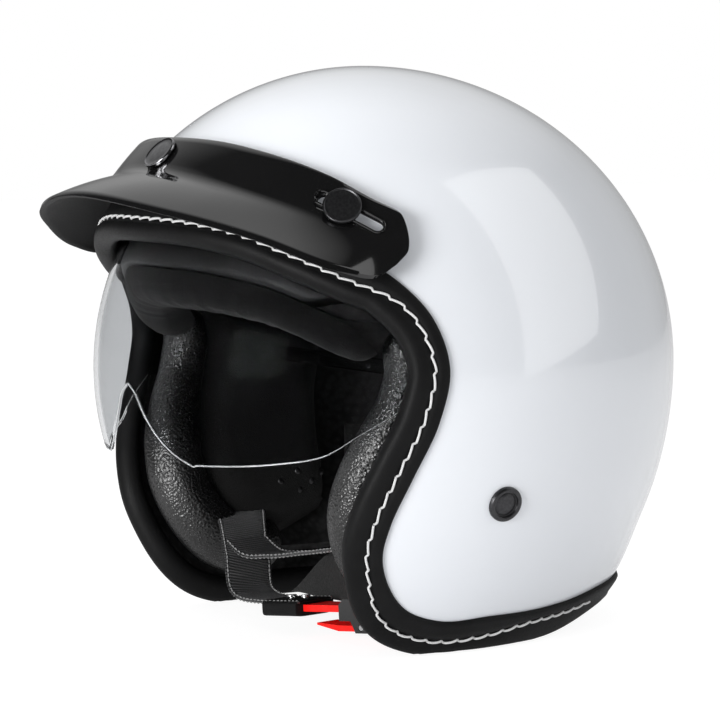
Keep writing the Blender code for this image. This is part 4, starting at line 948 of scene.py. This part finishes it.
def visor_piece(finish, edge):
    """Clear lens on two arms, with a nose arch, and a pale opaque bead round its cut edge, thicker in front,
    that paints a highlight along the lens's rim.
    """
    made = piece("visor_lens", *visor_layer(VISOR_INSET), finish, body="visor", nodes=["sun_visor"],
                 slot="clear_lens")
    cut_away(made, *visor_layer(VISOR_INSET + VISOR_THICKNESS))
    out, rise = SHELL_ROUND + 0.01, radians(VISOR_TOP_ANGLE)
    turns = [radians(angle) for angle in range(-100, 121, 10)]
    eye = [(VISOR_EYE_RADIUS * cos(turn), VISOR_EYE_RADIUS * sin(turn)) for turn in turns]
    lower = curve_through([(-0.050, -0.0095, 0), (-0.063, -0.0185, 0), (-0.073, -0.0265, 0),
                           (-0.088, -0.0305, 0), (-0.110, -VISOR_TIP_DROP, 0)], 8)
    outline = eye + [(-out * cos(rise), out * sin(rise)), (-out * 1.2, out * sin(rise)),
                     (-out * 1.2, -VISOR_TIP_DROP)] + [(y, z) for y, z, _ in lower[::-1]]
    walls = [np.array([(x, y, z) for y, z in outline]) for x in (-VISOR_CUT_REACH, VISOR_CUT_REACH)]
    cut_away(made, *sweep_mesh(walls), "INTERSECT")
    arch = curve_through([(0, NOSE_ARCH_HEIGHT, 0), (0.0048, -0.0051, 0), (0.0103, -0.0136, 0),
                          (0.0165, -0.0217, 0), (0.0245, -0.0288, 0),
                          (NOSE_ARCH_HALF, -VISOR_TIP_DROP, 0)], 8)
    low = -VISOR_TIP_DROP - 0.02
    outline = [(x, z) for x, z, _ in arch] + [(NOSE_ARCH_HALF, low), (-NOSE_ARCH_HALF, low)]
    outline += [(-x, z) for x, z, _ in arch[:0:-1]]
    walls = [np.array([(x, y, z) for x, z in outline]) for y in (-VISOR_CUT_REACH, -0.07)]
    cut_away(made, *sweep_mesh(walls))
    cut_away(made, *tube([(-0.13, 0, 0), (0.13, 0, 0)], VISOR_EYE_BORE, 32))
    true_normals(made)
    # The bead round the lens's cut edge, thinner at the sides, is a painted highlight of the clear rim.
    line = [spot for spot in (lens_spot(y=y, z=z) for y, z, _ in lower) if spot[0] > NOSE_ARCH_HALF]
    line += [lens_spot(x=x, z=z) for x, z, _ in arch[::-1]]
    whole = evenly(np.array(line + [spot * (-1, 1, 1) for spot in line[-2::-1]]), 360)
    thin = 0.3 + 0.7 * smooth(-whole[:, 1], 0.060, 0.085)
    piece("visor_rim_highlight", *tube(whole, VISOR_RIM_HIGHLIGHT * thin), edge, body="visor", slot="clear_lens")


def lens_spot(z, x=None, y=None):
    """Point in the middle of the lens at a height, at a distance across or from the front."""
    half, radius = (size - VISOR_INSET - VISOR_THICKNESS / 2 for size in (SHELL_HALF_WIDTH, SHELL_ROUND))
    if x is None:
        x = half * sqrt(1 - (y * y + z * z) / radius ** 2)
    else:
        y = -sqrt(radius ** 2 * (1 - (x / half) ** 2) - z * z)
    return np.array((x, y, z))


def true_normals(lens):
    """Gives the lens the normals of its own curve, so that it reflects without facets."""
    mesh = lens.data
    mesh.shade_smooth()
    normals = []
    for face in mesh.polygons:
        for corner in face.vertices:
            spot = np.array(mesh.vertices[corner].co) - MIDDLE
            true = unit(spot / (SHELL_HALF_WIDTH ** 2, SHELL_ROUND ** 2, SHELL_ROUND ** 2))
            facing = float(true @ np.array(face.normal))
            normals.append(tuple(true * np.sign(facing)) if abs(facing) > 0.9 else tuple(face.normal))
    mesh.normals_split_custom_set(normals)


def brow_stations(half_angle, count):
    """Lip line from one side of the brow to the other, within an angle of the front."""
    line = [shell_spot(a, h) for a, h in lip_half()[:7]]
    dense = curve_through([spot * (-1, 1, 1) for spot in line[:0:-1]] + line)
    return on_shell(evenly(dense[np.abs(front_angle(dense)) < half_angle], count))


def brow_piece(finish):
    """Moulded strip behind the visor's top, with a bead along its lower edge."""
    face = VISOR_INSET + VISOR_THICKNESS + VISOR_CLEARANCE
    back = face + BROW_PLATE_WALL
    low, flange = BROW_PLATE_REACH - BROW_PLATE_WALL, back + BROW_PLATE_FLANGE
    section = [(far, face) for far in np.linspace(BROW_PLATE_TOP, low - 0.004, 10)]
    section += [(low - 0.002, face + 0.0001), (low, face + 0.0003),
                (BROW_PLATE_REACH - 0.0004, face + 0.0010), (BROW_PLATE_REACH, face + 0.0020)]
    section += [(BROW_PLATE_REACH, flange), (low + 0.0003, flange), (low + 0.0003, back)]
    section += [(far, back) for far in np.linspace(low, BROW_PLATE_TOP, 6)]
    loop = brow_stations(BROW_PLATE_ANGLE, 121)
    ends = 1 - 0.5 * smooth(np.abs(front_angle(loop)), 46.0, BROW_PLATE_ANGLE)
    lines = [beyond_lip(loop, far * (ends if far > 0 else 1), sunk) for far, sunk in section]
    piece("brow_moulding", *lofted(lines), finish, nodes=["brow_plate"], slot="moulding")


def forehead_piece(finish):
    """Fabric roll under the brow plate, flat against it and round below, with sewn-in puckers."""
    top = BROW_PLATE_REACH + 0.0003
    front = VISOR_INSET + VISOR_THICKNESS + VISOR_CLEARANCE + 0.35 * BROW_PLATE_FLANGE
    loop = brow_stations(FOREHEAD_PAD_ANGLE, 181)
    share = np.linspace(0, 1, len(loop))
    ends = rounded(share, 10, 0.03)
    pucker = 0.018 * np.sin(share * 130.0) + 0.012 * np.sin(share * 213.0 + 1.0)
    pucker = 1 + pucker * (1 - smooth(np.abs(2 * share - 1), 0.45, 0.75))
    lines = []
    for k in range(FOREHEAD_SIDES):
        turn = pi * k / (FOREHEAD_SIDES - 1)
        far = top + FOREHEAD_PAD_DEPTH * (0.02 + 0.98 * sin(turn) ** 0.75) * ends * pucker
        sunk = front + FOREHEAD_PAD_THICKNESS * 1.1 * (1 - cos(turn) * ends)
        lines.append(beyond_lip(loop, far, sunk))
    made = piece("forehead_roll", *lofted(lines), finish, nodes=["forehead_pad"], slot="lining")
    swell(made, sewn_lines(len(loop), FOREHEAD_SIDES))


def crown_pieces(fabric, foam):
    """Foam liner as a thin dome behind the lining, and the padded crown."""
    loop = lip_loop(160)
    brow = smooth(loop[:, 2], 0.030, 0.055)
    reach = trim_cover(loop) - FOAM_EDGE_GAP
    reach = reach + (BROW_PLATE_REACH - BROW_PLATE_WALL - FIT_GAP - reach) * brow
    soft = SOFT_GAP + CROWN_PAD_THICKNESS
    domes = (("foam_liner", beyond_lip(loop, reach), "eps_liner", foam, "foam", 0.0, -FOAM_SHOWN),
             ("crown_padding", crown_edge(144), "crown_liner", fabric, "lining", SOFT_GAP, soft))
    rings = 30
    for name, edge, node, finish, slot, outer, inner in domes:
        spread = np.vstack(dome_rays(edge, rings))
        rim_share = np.repeat(np.arange(1, rings + 1) / rings, len(edge))
        thin = outer + (inner - outer) * np.sqrt(1 - 0.8 * rim_share ** 8)
        rows = []
        for depth in (np.full(len(thin), outer), thin):
            rows.append(on_shell(POLE[None], liner_inset(POLE[None]) + depth[:1]))
            rows.append(on_shell(spread, liner_inset(spread) + depth))
        points = np.vstack(rows)
        faces, second = dome_faces(rings, len(edge))
        made = piece(name, points, faces, finish, nodes=[node], slot=slot)
        if node == "crown_liner":
            seam = second + np.flatnonzero(np.abs(points[second:, 0]) < CROWN_SEAM)
            rim = np.arange(len(points) - len(edge), len(points))
            swell(made, np.concatenate([np.arange(second), seam, rim]))


def crown_edge(count):
    """Edge of the crown padding, as rays: lower at the sides and the rear than in front."""
    front, side, rear = 34.0, 18.0, 4.0
    level, swing = (front + rear) / 2, (front - rear) / 2
    turn = tau * np.arange(count) / count
    rise = np.radians((level + side) / 2 + swing * np.cos(turn) + (level - side) / 2 * np.cos(2 * turn))
    return np.stack([np.cos(rise) * np.sin(turn), -np.cos(rise) * np.cos(turn), np.sin(rise)], axis=1)


def panel_stud(face, place):
    """Domed stud on the panel's face, at the face's point nearest to (y, z)."""
    spot = face[np.argmin(np.linalg.norm(face[:, 1:] - place, axis=1))]
    r = PANEL_STUD_RADIUS
    profile = [(0, -0.0005), (r, -0.0005), (r, 0.0003)]
    profile += [(r * cos(radians(a)), 0.0003 + 0.75 * r * sin(radians(a))) for a in range(15, 90, 15)]
    return turned(profile + [(0, 0.0003 + 0.75 * r)], spot, (-np.sign(spot[0]), 0, 0), 24)


def cheek_pieces(leather, fabric, metal):
    """Cheek pads: a leather roll along the face opening and a crowned panel behind it."""
    half = half_lip()
    line = evenly(half[(half[:, 2] < CHEEK_PAD_TOP) & (front_angle(half) < 90)], 121)
    share = np.linspace(0, 1, len(line))
    radius = ROLL_RADIUS + ROLL_LOWER_EXTRA * smooth(-line[:, 2], 0.010, 0.060)
    radius = radius * rounded(share, 12, 0.02)
    lines, sides = [], 32
    for k in range(sides):
        angle = tau * k / sides
        sunk = ROLL_INSET + 1.05 * radius * cos(angle)
        lines.append(beyond_lip(line, ROLL_REACH + radius * sin(angle), sunk))
    roll = lofted(lines)
    heights = np.linspace(CHEEK_PAD_TOP - 0.026, LOWER_EDGE_HEIGHT + 0.008, len(line))
    rear = np.array([shell_spot(CHEEK_PAD_REAR_ANGLE, height) for height in heights])
    front = beyond_lip(line, ROLL_REACH - 0.006)
    across = np.linspace(0, 1, 41)
    crown = np.outer(rounded(share, 6), rounded(across, 6))
    rays = unit(front)[:, None] * (1 - across)[:, None] + unit(rear)[:, None] * across[:, None]
    base = liner_inset(rays) + CHEEK_PAD_GAP
    full = base + CHEEK_PAD_EDGE + (CHEEK_PAD_THICKNESS - CHEEK_PAD_EDGE) * crown
    layers = [on_shell(rays, depth).reshape(-1, 3) for depth in (base, full)]
    rows, columns = len(line), len(across)
    total = rows * columns
    faces = grid_faces(rows, columns) + grid_faces(rows, columns, total)
    rim = list(range(columns)) + [r * columns + columns - 1 for r in range(1, rows)]
    rim += [(rows - 1) * columns + c for c in range(columns - 2, -1, -1)]
    rim += [r * columns for r in range(rows - 2, 0, -1)]
    for near, after in zip(rim, rim[1:] + rim[:1]):
        faces.append((near, after, after + total, near + total))
    for side, sign in SIDES:
        mirror = (sign, 1, 1)
        panel = piece(f"cheek_panel_{side}", np.vstack(layers) * mirror, faces, fabric,
                      nodes=[f"cheek_pad_{side}"], slot="lining")
        studs = [panel_stud(layers[1] * mirror, place) for place in PANEL_STUDS]
        piece(f"panel_studs_{side}", *merged(studs), metal, slot="dark_metal")
        bolster = piece(f"cheek_roll_{side}", roll[0] * mirror, roll[1], leather, slot="pad_leather")
        swell(panel, np.concatenate([np.arange(total), total + np.array(rim)]))
        swell(bolster, np.arange(len(line)) * sides + sides // 2)


def neck_piece(finish):
    """Fabric roll round the nape, full in the middle and drawn in at its edges."""
    half = half_lip()
    low = beyond_lip(half, trim_cover(half) - FOAM_EDGE_GAP)
    left = evenly(low[front_angle(half) > NECK_ROLL_START], 61)
    bottom = np.vstack([left, left[-2::-1] * (-1, 1, 1)])
    top = np.array([shell_spot(angle, NECK_ROLL_TOP) for angle in front_angle(bottom)])
    share = np.linspace(0, 1, len(bottom))
    ends = rounded(share, 8, 0.02)
    pucker = 1 + 0.03 * np.sin(share * 90.0) + 0.02 * np.sin(share * 151.0 + 2.0)
    lines = []
    for k in range(NECK_SIDES):
        way = pi * k / (NECK_SIDES - 1)
        across = 0.5 - 0.5 * cos(way)
        rays = unit(bottom) * (1 - across) + unit(top) * across
        plump = 0.002 + (NECK_ROLL_THICKNESS - 0.002) * sin(way) ** 0.7 * ends * pucker
        lines.append(on_shell(rays, liner_inset(rays) + SOFT_GAP + plump))
    made = piece("neck_padding", *lofted(lines), finish, nodes=["neck_roll"], slot="lining")
    swell(made, sewn_lines(len(bottom), NECK_SIDES))


def buckle_frame():
    """Buckle's own axes: X along the strap towards the chin, Y across it, Z up to the chin."""
    along = Vector(BUCKLE_ALONG).normalized()
    across = (Vector((0, 1, 0)) - along * along.y).normalized()
    up = along.cross(across)
    if up.z < 0:
        across, up = -across, -up
    made = Matrix((along, across, up)).transposed().to_4x4()
    inset, y, z = BUCKLE_PLACE
    made.translation = Vector((SHELL_HALF_WIDTH - inset, y, z))
    return made


def in_buckle(places):
    """Places along the buckle and above its middle, as points about the shell's middle."""
    at = buckle_frame()
    return [np.array(at @ Vector((far, 0, rise))) for far, rise in places]


def strap_route(sign):
    """Middle line of one side's webbing, from its anchor plate through foam and pad to the buckle."""
    spot = shell_spot(sign * ANCHOR_ANGLE, ANCHOR_HEIGHT)
    axis = shell_normal(spot)
    down = -sign * unit(np.cross(axis, (0, 1, 0)))
    below = SHELL_WALL + ANCHOR_PLATE_GAP + ANCHOR_PLATE_THICKNESS + 3 * FIT_GAP + STRAP_THICKNESS / 2
    start = spot - axis * below + down * (1.4 * RIVET_SHANK_RADIUS + 2 * FIT_GAP)
    way = list(STRAP_WAY) + ([STRAP_DROP] if sign > 0 else list(CHIN_LOOP))
    route = [start, start + down * 0.007 - axis * 0.0010 - np.array((0, 0.0010, 0))]
    route += [np.array((sign * (SHELL_HALF_WIDTH - inset), y, z)) for inset, y, z in way]
    if sign > 0:
        turn, rear = BUCKLE_BEND, -BUCKLE_LENGTH / 2 - 2 * FIT_GAP
        return route + in_buckle([(rear - turn, 1.2 * turn), (rear - 0.72 * turn, 0.36 * turn),
                                  (rear - 0.3 * turn, 0), (rear, 0)])
    lift = TONGUE_THICKNESS / 2 + FIT_GAP + STRAP_THICKNESS / 2
    first, last = (BUCKLE_LENGTH / 2 + far for far in TONGUE_RIVETS)
    places = [(last + STRAP_END, lift), ((first + last) / 2, lift), (first - STRAP_END, lift)]
    return route + in_buckle(places)


def strap_axes(path):
    """Directions across a strap's width and through it, its width level front to back."""
    along = unit(np.gradient(path, axis=0))
    wide = unit(np.array((0.0, 1.0, 0.0)) - along * along[:, 1:2])
    return wide, np.cross(along, wide)


def strap_stations(route, pitch, per_pitch):
    """Even stations along a strap's route, with its two directions and the phase of a wave along it."""
    dense = curve_through(route)
    path = evenly(dense, int(lengths(dense)[-1] / pitch * per_pitch))
    return path, *strap_axes(path), np.cos(tau * lengths(path) / pitch)


def webbing(route):
    """Points and faces of a woven strap, ribbed across with plain edges, and for each point how near the top
    of a rib it lies, which the finish uses as a painted sheen on the rib tops and painted shade in the
    hollows.
    """
    path, wide, thick, wave = strap_stations(route, RIB_PITCH, 7)
    rib = RIB_DEPTH * wave
    half = STRAP_THICKNESS / 2
    flat = np.array([-0.94, -0.84, -0.80, -0.4, 0.0, 0.4, 0.80, 0.84, 0.94])
    lines = []
    for face in (1, -1):
        for share in flat * face:
            ribbed = rib * (abs(share) < RIB_SHARE) - RIB_DEPTH
            lines.append(path + wide * share * STRAP_WIDTH / 2 + thick * (face * (half + ribbed))[:, None])
        lines.append(path + wide * face * STRAP_WIDTH / 2)
    # 1 on the top of a rib and 0 in the hollow between ribs, for the painted sheen and painted shade of the
    # webbing's colour.
    painted_rib_sheen = np.repeat(0.5 + 0.5 * rib / RIB_DEPTH, len(lines))
    return *lofted(lines), painted_rib_sheen


def sewn_edges(route):
    """Thread that goes in and out along both edges of a strap, on both faces."""
    path, wide, thick, wave = strap_stations(route, SEWN_PITCH, 8)
    depth = (STRAP_THICKNESS / 2 - RIB_DEPTH + SEWN_WAVE * wave)[:, None]
    rows = [path + wide * edge * 0.45 * STRAP_WIDTH + thick * face * depth
            for edge in (1, -1) for face in (1, -1)]
    return merged([tube(row, SEWN_THREAD, 6) for row in rows])


def tongue_sleeve(finish):
    """Sleeve that holds the webbing on the tongue's end, under the rivets' heads."""
    first, last = (BUCKLE_LENGTH / 2 + far for far in TONGUE_RIVETS)
    top = TONGUE_THICKNESS / 2 + STRAP_THICKNESS + 1.5 * FIT_GAP
    half = STRAP_WIDTH / 2 + 0.0006
    at = buckle_frame()
    rings = []
    ends = ((first - STRAP_END, 0.90), (first - STRAP_END + 0.0006, 1.0), (last + TONGUE_END + 0.0024, 1.0),
            (last + TONGUE_END + 0.0036, 0.90))
    for far, share in ends:
        ring = []
        for k in range(40):
            turn = tau * k / 40
            side, rise = (np.sign(v) * abs(v) ** 0.35 for v in (cos(turn), sin(turn)))
            ring.append(np.array(at @ Vector((far, share * half * side, share * top * rise))))
        rings.append(np.array(ring))
    piece("tongue_sleeve", *sweep_mesh(rings), finish, body="tongue", slot="black_gloss", sharp=50.0)


def buckle_tab(finish):
    """Soft fabric tab that stands on edge over the buckle, drawn in to a rounded tip."""
    path = evenly(curve_through(TAB_PATH), 49)
    share = lengths(path) / lengths(path)[-1]
    tip = np.clip(1 - smooth(share, 0.40, 1.02) ** 2, 0.02, 1) * (1 - 0.3 * smooth(-share, -0.2, 0.0))
    tip = tip[:, None]
    along = unit(np.gradient(path, axis=0))
    rise = unit(np.array((0.0, 0.0, 1.0)) - along * along[:, 2:])
    face = np.cross(along, rise)
    lines, sides = [], 32
    for k in range(sides):
        turn = tau * k / sides
        pucker = 1 + 0.05 * np.sin(share * 40.0 + 2 * turn)[:, None]
        plump = TAB_PLUMP * pucker * np.sqrt(tip)
        lines.append(path + rise * TAB_HALF * tip * cos(turn) + face * plump * sin(turn))
    made = piece("buckle_tab", *lofted(lines), finish, slot="lining")


def straps(web, yarn):
    """Both chin straps, and the spare end beside the buckle."""
    spare = [np.array(place) for place in SPARE_END]
    made = (("left", strap_route(1), "helmet", ["chin_strap_left"]),
            ("right", strap_route(-1), None, ["chin_strap_right"]), ("spare", spare, "helmet", []))
    for name, route, body, nodes in made:
        points, faces, painted_rib_sheen = webbing(route)
        strap = piece(f"webbing_{name}", points, faces, web, body=body, nodes=nodes, slot="webbing",
                      sharp=60.0)
        # The rib attribute carries the painted sheen on the rib tops and the painted shade in the hollows.
        strap.data.attributes.new("rib", "FLOAT", "POINT").data.foreach_set("value", painted_rib_sheen)
        sewing = piece(f"webbing_{name}_sewing", *sewn_edges(route), yarn, body=body, slot="webbing")
        if body is None:
            for obj in (strap, sewing):
                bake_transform(obj)


def studio(right, up, near):
    """Point of the studio as seen from the camera: to its right, up, and towards it."""
    turn = radians(CAMERA_TURN)
    return Vector(MIDDLE) + Vector((cos(turn), sin(turn), 0)) * right + Vector((0, 0, up)) \
        + Vector((sin(turn), -cos(turn), 0)) * near


def light(name, at, size, power, in_gloss=True):
    """Soft lamp that looks at the helmet, with or without its own image in the gloss."""
    lamp = bpy.data.lights.new(name, "AREA")
    lamp.shape = "RECTANGLE"
    lamp.size, lamp.size_y = size
    lamp.energy = power
    obj = bpy.data.objects.new(name, lamp)
    obj.location = at
    obj.rotation_euler = (Vector(MIDDLE) - Vector(at)).to_track_quat("-Z", "Y").to_euler()
    obj.visible_glossy = in_gloss
    bpy.context.collection.objects.link(obj)


def sheet(name, corners, finish):
    """Flat sheet of the studio, linked to the scene."""
    mesh = bpy.data.meshes.new(name)
    mesh.from_pydata(corners, [], [(0, 1, 2, 3)])
    mesh.materials.append(finish)
    obj = bpy.data.objects.new(name, mesh)
    bpy.context.collection.objects.link(obj)
    return obj


def studio_finish(name, glow):
    """New material with a glow node beside its shader, as material, node tree and glow."""
    made = bpy.data.materials.new(name)
    made.use_nodes = True
    return made, made.node_tree, add_node(made.node_tree, "ShaderNodeEmission", {"Strength": glow}).outputs[0]


def seen_plainly(tree):
    """1 for what the camera sees, also through the lens, and 0 for all other light."""
    path = add_node(tree, "ShaderNodeLightPath").outputs
    return add_node(tree, "ShaderNodeMath", {0: path["Is Camera Ray"], 1: path["Is Transmission Ray"]},
                    operation="MAXIMUM").outputs[0]


def reflector():
    """Large soft panel on the right, which shows in the shell's gloss."""
    finish, tree, glow = studio_finish("panel_glow", PANEL_GLOW)
    tree.nodes.remove(tree.nodes["Principled BSDF"])
    tree.links.new(glow, tree.nodes["Material Output"].inputs["Surface"])
    far = PANEL_DISTANCE
    obj = sheet("soft_panel", [studio(far, up * far, near * far) for up, near in PANEL_CORNERS], finish)
    obj.visible_camera = obj.visible_shadow = obj.visible_transmission = False


def world():
    """White behind the object for the camera and through the lens, soft grey round it in the gloss."""
    made = bpy.data.worlds.new("studio_world")
    bpy.context.scene.world = made
    made.use_nodes = True
    tree = made.node_tree
    way = add_node(tree, "ShaderNodeTexCoord").outputs["Generated"]
    turn = radians(CAMERA_TURN)
    aside = turn - radians(BACKDROP_TURN)
    high = Vector((-sin(turn), cos(turn), 1.0)).normalized()
    level = (-sin(aside), cos(aside), 0.0)
    glows = []
    for facing, start, end, most in ((high, 0.72, 0.94, 0.62), (level, 0.6, 0.95, 0.38)):
        dot = add_node(tree, "ShaderNodeVectorMath", {0: way, 1: facing}, operation="DOT_PRODUCT")
        ramp = {"Value": dot.outputs["Value"], "From Min": start, "From Max": end, "To Min": WORLD_DARK,
                "To Max": most}
        glows.append(add_node(tree, "ShaderNodeMapRange", ramp).outputs["Result"])
    gloss = add_node(tree, "ShaderNodeMath", dict(enumerate(glows)), operation="MAXIMUM").outputs[0]
    glossy = add_node(tree, "ShaderNodeLightPath").outputs["Is Glossy Ray"]
    fill = add_node(tree, "ShaderNodeMix", {"Factor": glossy, 2: WORLD_FILL, 3: gloss}).outputs[0]
    strength = add_node(tree, "ShaderNodeMix", {"Factor": seen_plainly(tree), 2: fill, 3: 1.0}).outputs[0]
    tree.links.new(strength, tree.nodes["Background"].inputs["Strength"])
    tree.nodes["Background"].inputs["Color"].default_value = (1.0, 1.0, 1.0, 1.0)


def floor():
    """Pale floor that keeps a soft shadow and runs out into the white background."""
    paper, tree, glow = studio_finish("white_paper", FLOOR_GLOW)
    shader = tree.nodes["Principled BSDF"]
    shader.inputs["Base Color"].default_value = (0.86, 0.86, 0.87, 1.0)
    shader.inputs["Roughness"].default_value = 0.9
    share = add_node(tree, "ShaderNodeMath", {0: seen_plainly(tree), 1: 0.50, 2: 0.20},
                     operation="MULTIPLY_ADD").outputs[0]
    mix = add_node(tree, "ShaderNodeMixShader", {0: share, 1: shader.outputs[0], 2: glow}).outputs[0]
    tree.links.new(mix, tree.nodes["Material Output"].inputs["Surface"])
    corners = [(x * FLOOR_REACH, y * FLOOR_REACH, 0) for x, y in ((-1, -1), (1, -1), (1, 1), (-1, 1))]
    obj = sheet("floor", corners, paper)
    obj.location = (0, 0, -FLOOR_DROP)


def camera():
    """Camera of the photograph."""
    data = bpy.data.cameras.new("photo_camera")
    data.lens = CAMERA_LENS
    data.sensor_width = 36.0
    data.shift_x, data.shift_y = CAMERA_SHIFT
    data.clip_end = 20.0
    obj = bpy.data.objects.new("photo_camera", data)
    turn, rise = radians(CAMERA_TURN), radians(CAMERA_RISE)
    out = Vector((sin(turn) * cos(rise), -cos(turn) * cos(rise), sin(rise)))
    obj.location = Vector(MIDDLE) + out * CAMERA_DISTANCE
    obj.rotation_euler = (-out).to_track_quat("-Z", "Y").to_euler()
    bpy.context.collection.objects.link(obj)
    bpy.context.scene.camera = obj


def kept_nodes(finishes):
    """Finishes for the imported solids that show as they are."""
    wanted = {"moulding": ("visor_bracket_left", "visor_bracket_right"),
              "steel": ("visor_screw_left", "visor_screw_right", "strap_anchor_left", "strap_anchor_right",
                        "snap_stud_left", "snap_stud_center", "snap_stud_right", "lever_pin", "lever_spring",
                        "tongue_rivet_1", "tongue_rivet_2"),
              "gloss": ("buckle_housing",), "red": ("ratchet_tongue", "buckle_lever")}
    for key, names in wanted.items():
        for name in names:
            mesh = frame["nodes"][name].data
            mesh.materials.clear()
            mesh.materials.append(finishes[key])


def main():
    """Builds the studio and every piece."""
    bpy.context.scene.view_settings.view_transform = "Standard"
    camera()
    world()
    floor()
    reflector()
    light("key_light", studio(-1.00, 0.20, 1.35), (0.75, 0.52), KEY_POWER)
    light("top_light", studio(-0.5, 1.7, -0.2), (1.4, 1.0), TOP_POWER, in_gloss=False)
    made = helmet_finishes()
    shell_piece(made["paint"], made["foam"])
    edging(made["edge"], made["white_thread"])
    peak_piece(made["gloss"], made["matt"])
    snap_caps(made["metal"], made["chrome"])
    strap_rivets(made["metal"])
    visor_piece(made["lens"], made["lens_rim_highlight"])
    brow_piece(made["moulding"])
    forehead_piece(made["fabric"])
    crown_pieces(made["fabric"], made["foam"])
    cheek_pieces(made["leather"], made["fabric"], made["metal"])
    neck_piece(made["soft"])
    straps(made["webbing"], made["grey_thread"])
    tongue_sleeve(made["matt"])
    buckle_tab(made["soft"])
    kept_nodes(made)


main()
